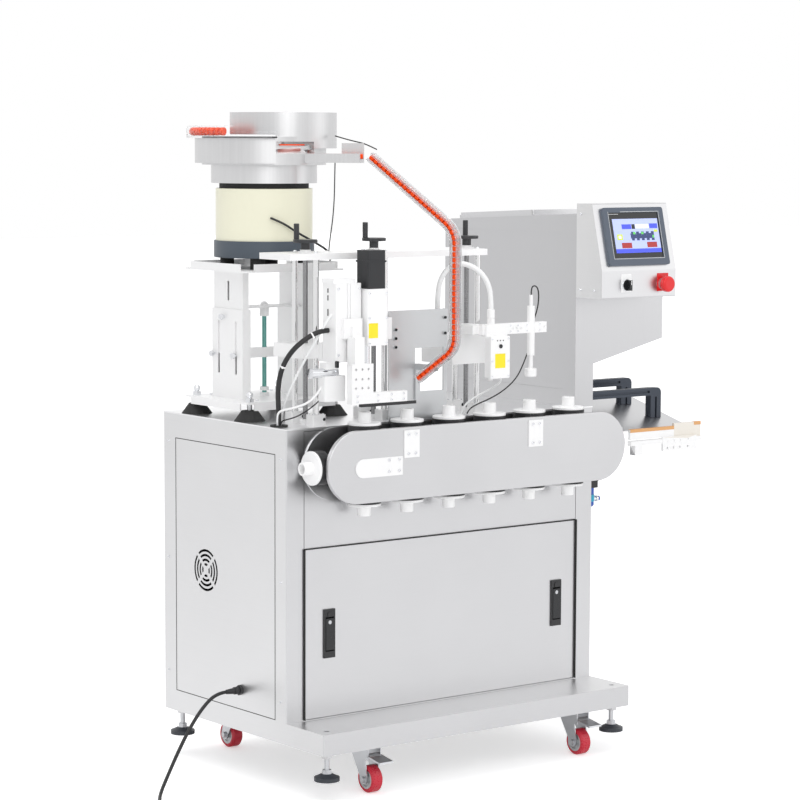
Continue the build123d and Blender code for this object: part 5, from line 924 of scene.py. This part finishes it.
# %% Colours of the picture
for name, colour in (("lit_lavender", (0.48, 0.55, 0.88)), ("lit_blue", (0.07, 0.10, 0.80)),
                     ("lit_white", (0.80, 0.84, 0.92)), ("lit_navy", (0.03, 0.05, 0.16)),
                     ("lit_green", (0.12, 0.62, 0.10)), ("lit_yellow", (0.62, 0.72, 0.08)),
                     ("lit_red", (0.38, 0.03, 0.03))):
    finish(name, colour, 0.3, shade=0.04, Emission_Color=(*colour, 1), Emission_Strength=0.25)
PANEL_MIDDLE = Vector((1015.5, -77, 1292.5))
PANEL_UP = Vector((0, 40, 167)).normalized()
PANEL_OUT = Vector((1, 0, 0)).cross(PANEL_UP)
PICTURE = (-73, 80, -42, 45)


def on_panel(p):
    return PANEL_MIDDLE + Vector((1, 0, 0)) * p[0] + PANEL_UP * p[1] + PANEL_OUT * p[2]


# %% Picture on the screen
LIT = ("lit_lavender", "lit_blue", "lit_white", "lit_navy", "lit_green", "lit_yellow", "lit_red",
       "black_gloss")
FIELDS = [(0, 1, 0, 1, 0), (0.19, 0.40, 0.16, 0.30, 1), (0.41, 0.48, 0.16, 0.30, 7),
          (0.49, 0.79, 0.16, 0.29, 2), (0.80, 0.98, 0.15, 0.29, 1), (0.14, 0.36, 0.70, 0.86, 6),
          (0.70, 0.92, 0.69, 0.85, 6), (0, 1, 0.88, 1, 1), (0.36, 0.88, 0.43, 0.58, 3),
          (0.89, 0.97, 0.33, 0.40, 5), (0.06, 0.18, 0.45, 0.62, 5), (0.09, 0.15, 0.49, 0.58, 2)]
FIELDS += [(0.38 + 0.11 * k, 0.44 + 0.11 * k, 0.38, 0.64, 3) for k in range(5)]
FIELDS += [(0.42, 0.47, 0.39, 0.46, 4), (0.60, 0.65, 0.39, 0.46, 4), (0.84, 0.88, 0.49, 0.57, 4)]
u0, u1, w0, w1 = PICTURE
picture_mesh = bmesh.new()
for k, (a, b, c, d, slot) in enumerate(FIELDS):
    level_out = 6.1 if k == 0 else 6.3 + 0.02 * k
    block(picture_mesh, (u0 + (u1 - u0) * a, w1 - (w1 - w0) * d, 5.9),
          (u0 + (u1 - u0) * b, w1 - (w1 - w0) * c, level_out), 0.05, slot, on_panel)
piece("screen_picture", "machine", picture_mesh, *LIT)
frame_mesh = bmesh.new()
for low, high in (((-86, -57.5), (-84.6, 63.5)), ((84.6, -57.5), (86, 63.5)),
                  ((-86, -57.5), (86, -56.2)), ((-44, 62.2), (86, 63.5)), ((-86, 56.2), (-52, 57.5))):
    block(frame_mesh, (*low, 7.8), (*high, 8.5), 0.2, 0, on_panel)
piece("screen_trim", "machine", frame_mesh, "grey_anodised")
dress("hmi_panel", "bezel_blue", ("black_gloss", lambda x, y, z: (abs(x - 1015.5) < 83.4) & (
    abs((y + 77) * PANEL_OUT.y + (z - 1292.5) * PANEL_OUT.z - 6.0) < 0.4)))
print("picture fields", len(FIELDS))

# %% [markdown]
# Small things give the machine its scale: blank yellow patches on the two white covers, the white
# line on the selector, an air fitting with a blue ring, the lock barrels in the door latches. They
# are turned or bevelled, and each one is a piece of its own on the body that carries it.

# %% Patches, fittings and marks
patch_mesh = bmesh.new()
block(patch_mesh, (182.5 + 4, -70.5, 1071), (182.5 + 31, -69.8, 1106), 0.3)
piece("cover_patch", "capping_carriage", patch_mesh, "patch_yellow")
patch_mesh = bmesh.new()
block(patch_mesh, (560, -82.5, 983), (592, -81.8, 1018), 0.3)
piece("valve_patch", "filling_carriage", patch_mesh, "patch_yellow")
fitting_mesh = bmesh.new()
for z in (1078, 1096):
    turned(fitting_mesh, (243, -42, z), RIGHT,
           [(0, 0), (6.5, 0), (6.5, 5), (7.4, 5.5), (7.4, 11), (6, 12), (0, 12)])
    turned(fitting_mesh, (243, -42, z), RIGHT,
           [(0, 12), (5.2, 12), (5.2, 14.5), (3.4, 15), (0, 15)], 24, 1)
piece("air_fittings", "capping_carriage", fitting_mesh, "polished_steel", "fitting_blue")
mark_mesh = bmesh.new()
block(mark_mesh, (970.2, -117.6, 1174), (971.8, -116.9, 1185), 0.2)
piece("selector_mark", "selector", mark_mesh, "white_plastic")
collar_mesh = bmesh.new()
turned(collar_mesh, (971, -98.2, 1173), FRONT,
       [(11.5, 0), (15.4, 0), (15.4, 2.4), (14.4, 3.6), (14.2, 3.6), (14.2, 0.5), (11.5, 0)])
piece("selector_collar", "machine", collar_mesh, "polished_steel")
lock_mesh = bmesh.new()
for x in LATCHES:
    turned(lock_mesh, (x, -3.8, 396), FRONT,
           [(0, 1.4), (1.2, 1.4), (4.6, 1.2), (5.2, 0.4), (5.2, 0), (0, 0)])
piece("latch_locks", "door", lock_mesh, "zinc_plate")
print("small pieces made")

# %% [markdown]
# More small things that the photograph shows: thin black seals round the loose panels, thumb knobs
# and bolts on the stand, the orange band on the strip at the right and the little air fitting there.

# %% Seals round the panels
seal_mesh = bmesh.new()
for y0, y1, z0, z1 in ((45.4, 47.2, 167.6, 800.4), (473.8, 475.6, 167.6, 800.4),
                       (45.4, 475.6, 798.8, 800.4), (45.4, 475.6, 167.6, 169.2)):
    block(seal_mesh, (-0.5, y0, z0), (0.9, y1, z1), 0.2)
piece("side_seal", "machine", seal_mesh, "dark_rubber")
seal_mesh = bmesh.new()
for x0, x1, z0, z1 in ((49.6, 51.3, 168.2, 576), (894.7, 896.4, 168.2, 576),
                       (49.6, 896.4, 574.7, 576.4)):
    block(seal_mesh, (x0, -5.9, z0), (x1, 0.2, z1), 0.2)
piece("door_seal", "machine", seal_mesh, "dark_rubber")

# %% Stand, strip and fittings
knob_mesh = bmesh.new()
for y, z in ((336, 1105), (286, 1013), (378, 1013)):
    turned(knob_mesh, (52, y, z), LEFT, [(0, 0), (3.5, 0), (3.5, 5), (7, 5.5), (7.5, 7), (7.5, 12),
                                    (6.5, 13), (0, 13)], 12)
piece("stand_knobs", "machine", knob_mesh, "polished_steel")
band_mesh = bmesh.new()
block(band_mesh, (1016, -70.5, 795), (1168, -61.8, 803.5), 0.3)
block(band_mesh, (1238, -70.5, 802), (1262.4, -61.8, 810.4), 0.3)
piece("strip_band", "machine", band_mesh, "copper_strip")
ring_mesh = bmesh.new()
turned(ring_mesh, (973, 40, 598), UP,
       [(15.2, 14), (16.2, 15), (16.2, 31), (15.2, 32), (15.2, 14)], 24)
turned(ring_mesh, (988, 40, 617), RIGHT, [(0, 0), (6, 0), (6, 9), (8, 9), (8, 15), (0, 15)], 16, 1)
turned(ring_mesh, (988, 40, 617), RIGHT, [(0, 15), (6.4, 15), (6.4, 21), (3.6, 22), (0, 22)], 16, 2)
piece("regulator_fitting", "machine", ring_mesh, "ring_cyan", "polished_steel", "fitting_blue")
dash_mesh = bmesh.new()
for low, high in ((1178, 1188), (1160, 1172), (1124, 1140)):
    block(dash_mesh, (106.2, -19, low), (107.1, -15.5, high), 0.2)
block(dash_mesh, (100, -63, 1005), (107, -53, 1021), 1.2)
piece("module_marks", "gripper_carriage", dash_mesh, "black_gloss")
lamp_mesh = bmesh.new()
for k in range(3):
    turned(lamp_mesh, (567 + 9 * k, -82, 1050), FRONT, [(1.6, 0), (1.6, 0.6), (0, 0.9)], 10)
piece("valve_lamps", "filling_carriage", lamp_mesh, "black_gloss")

# %% Put the patterns away
for pattern in (socket_screw, stacked_cap, round_cap):
    bpy.data.objects.remove(pattern)
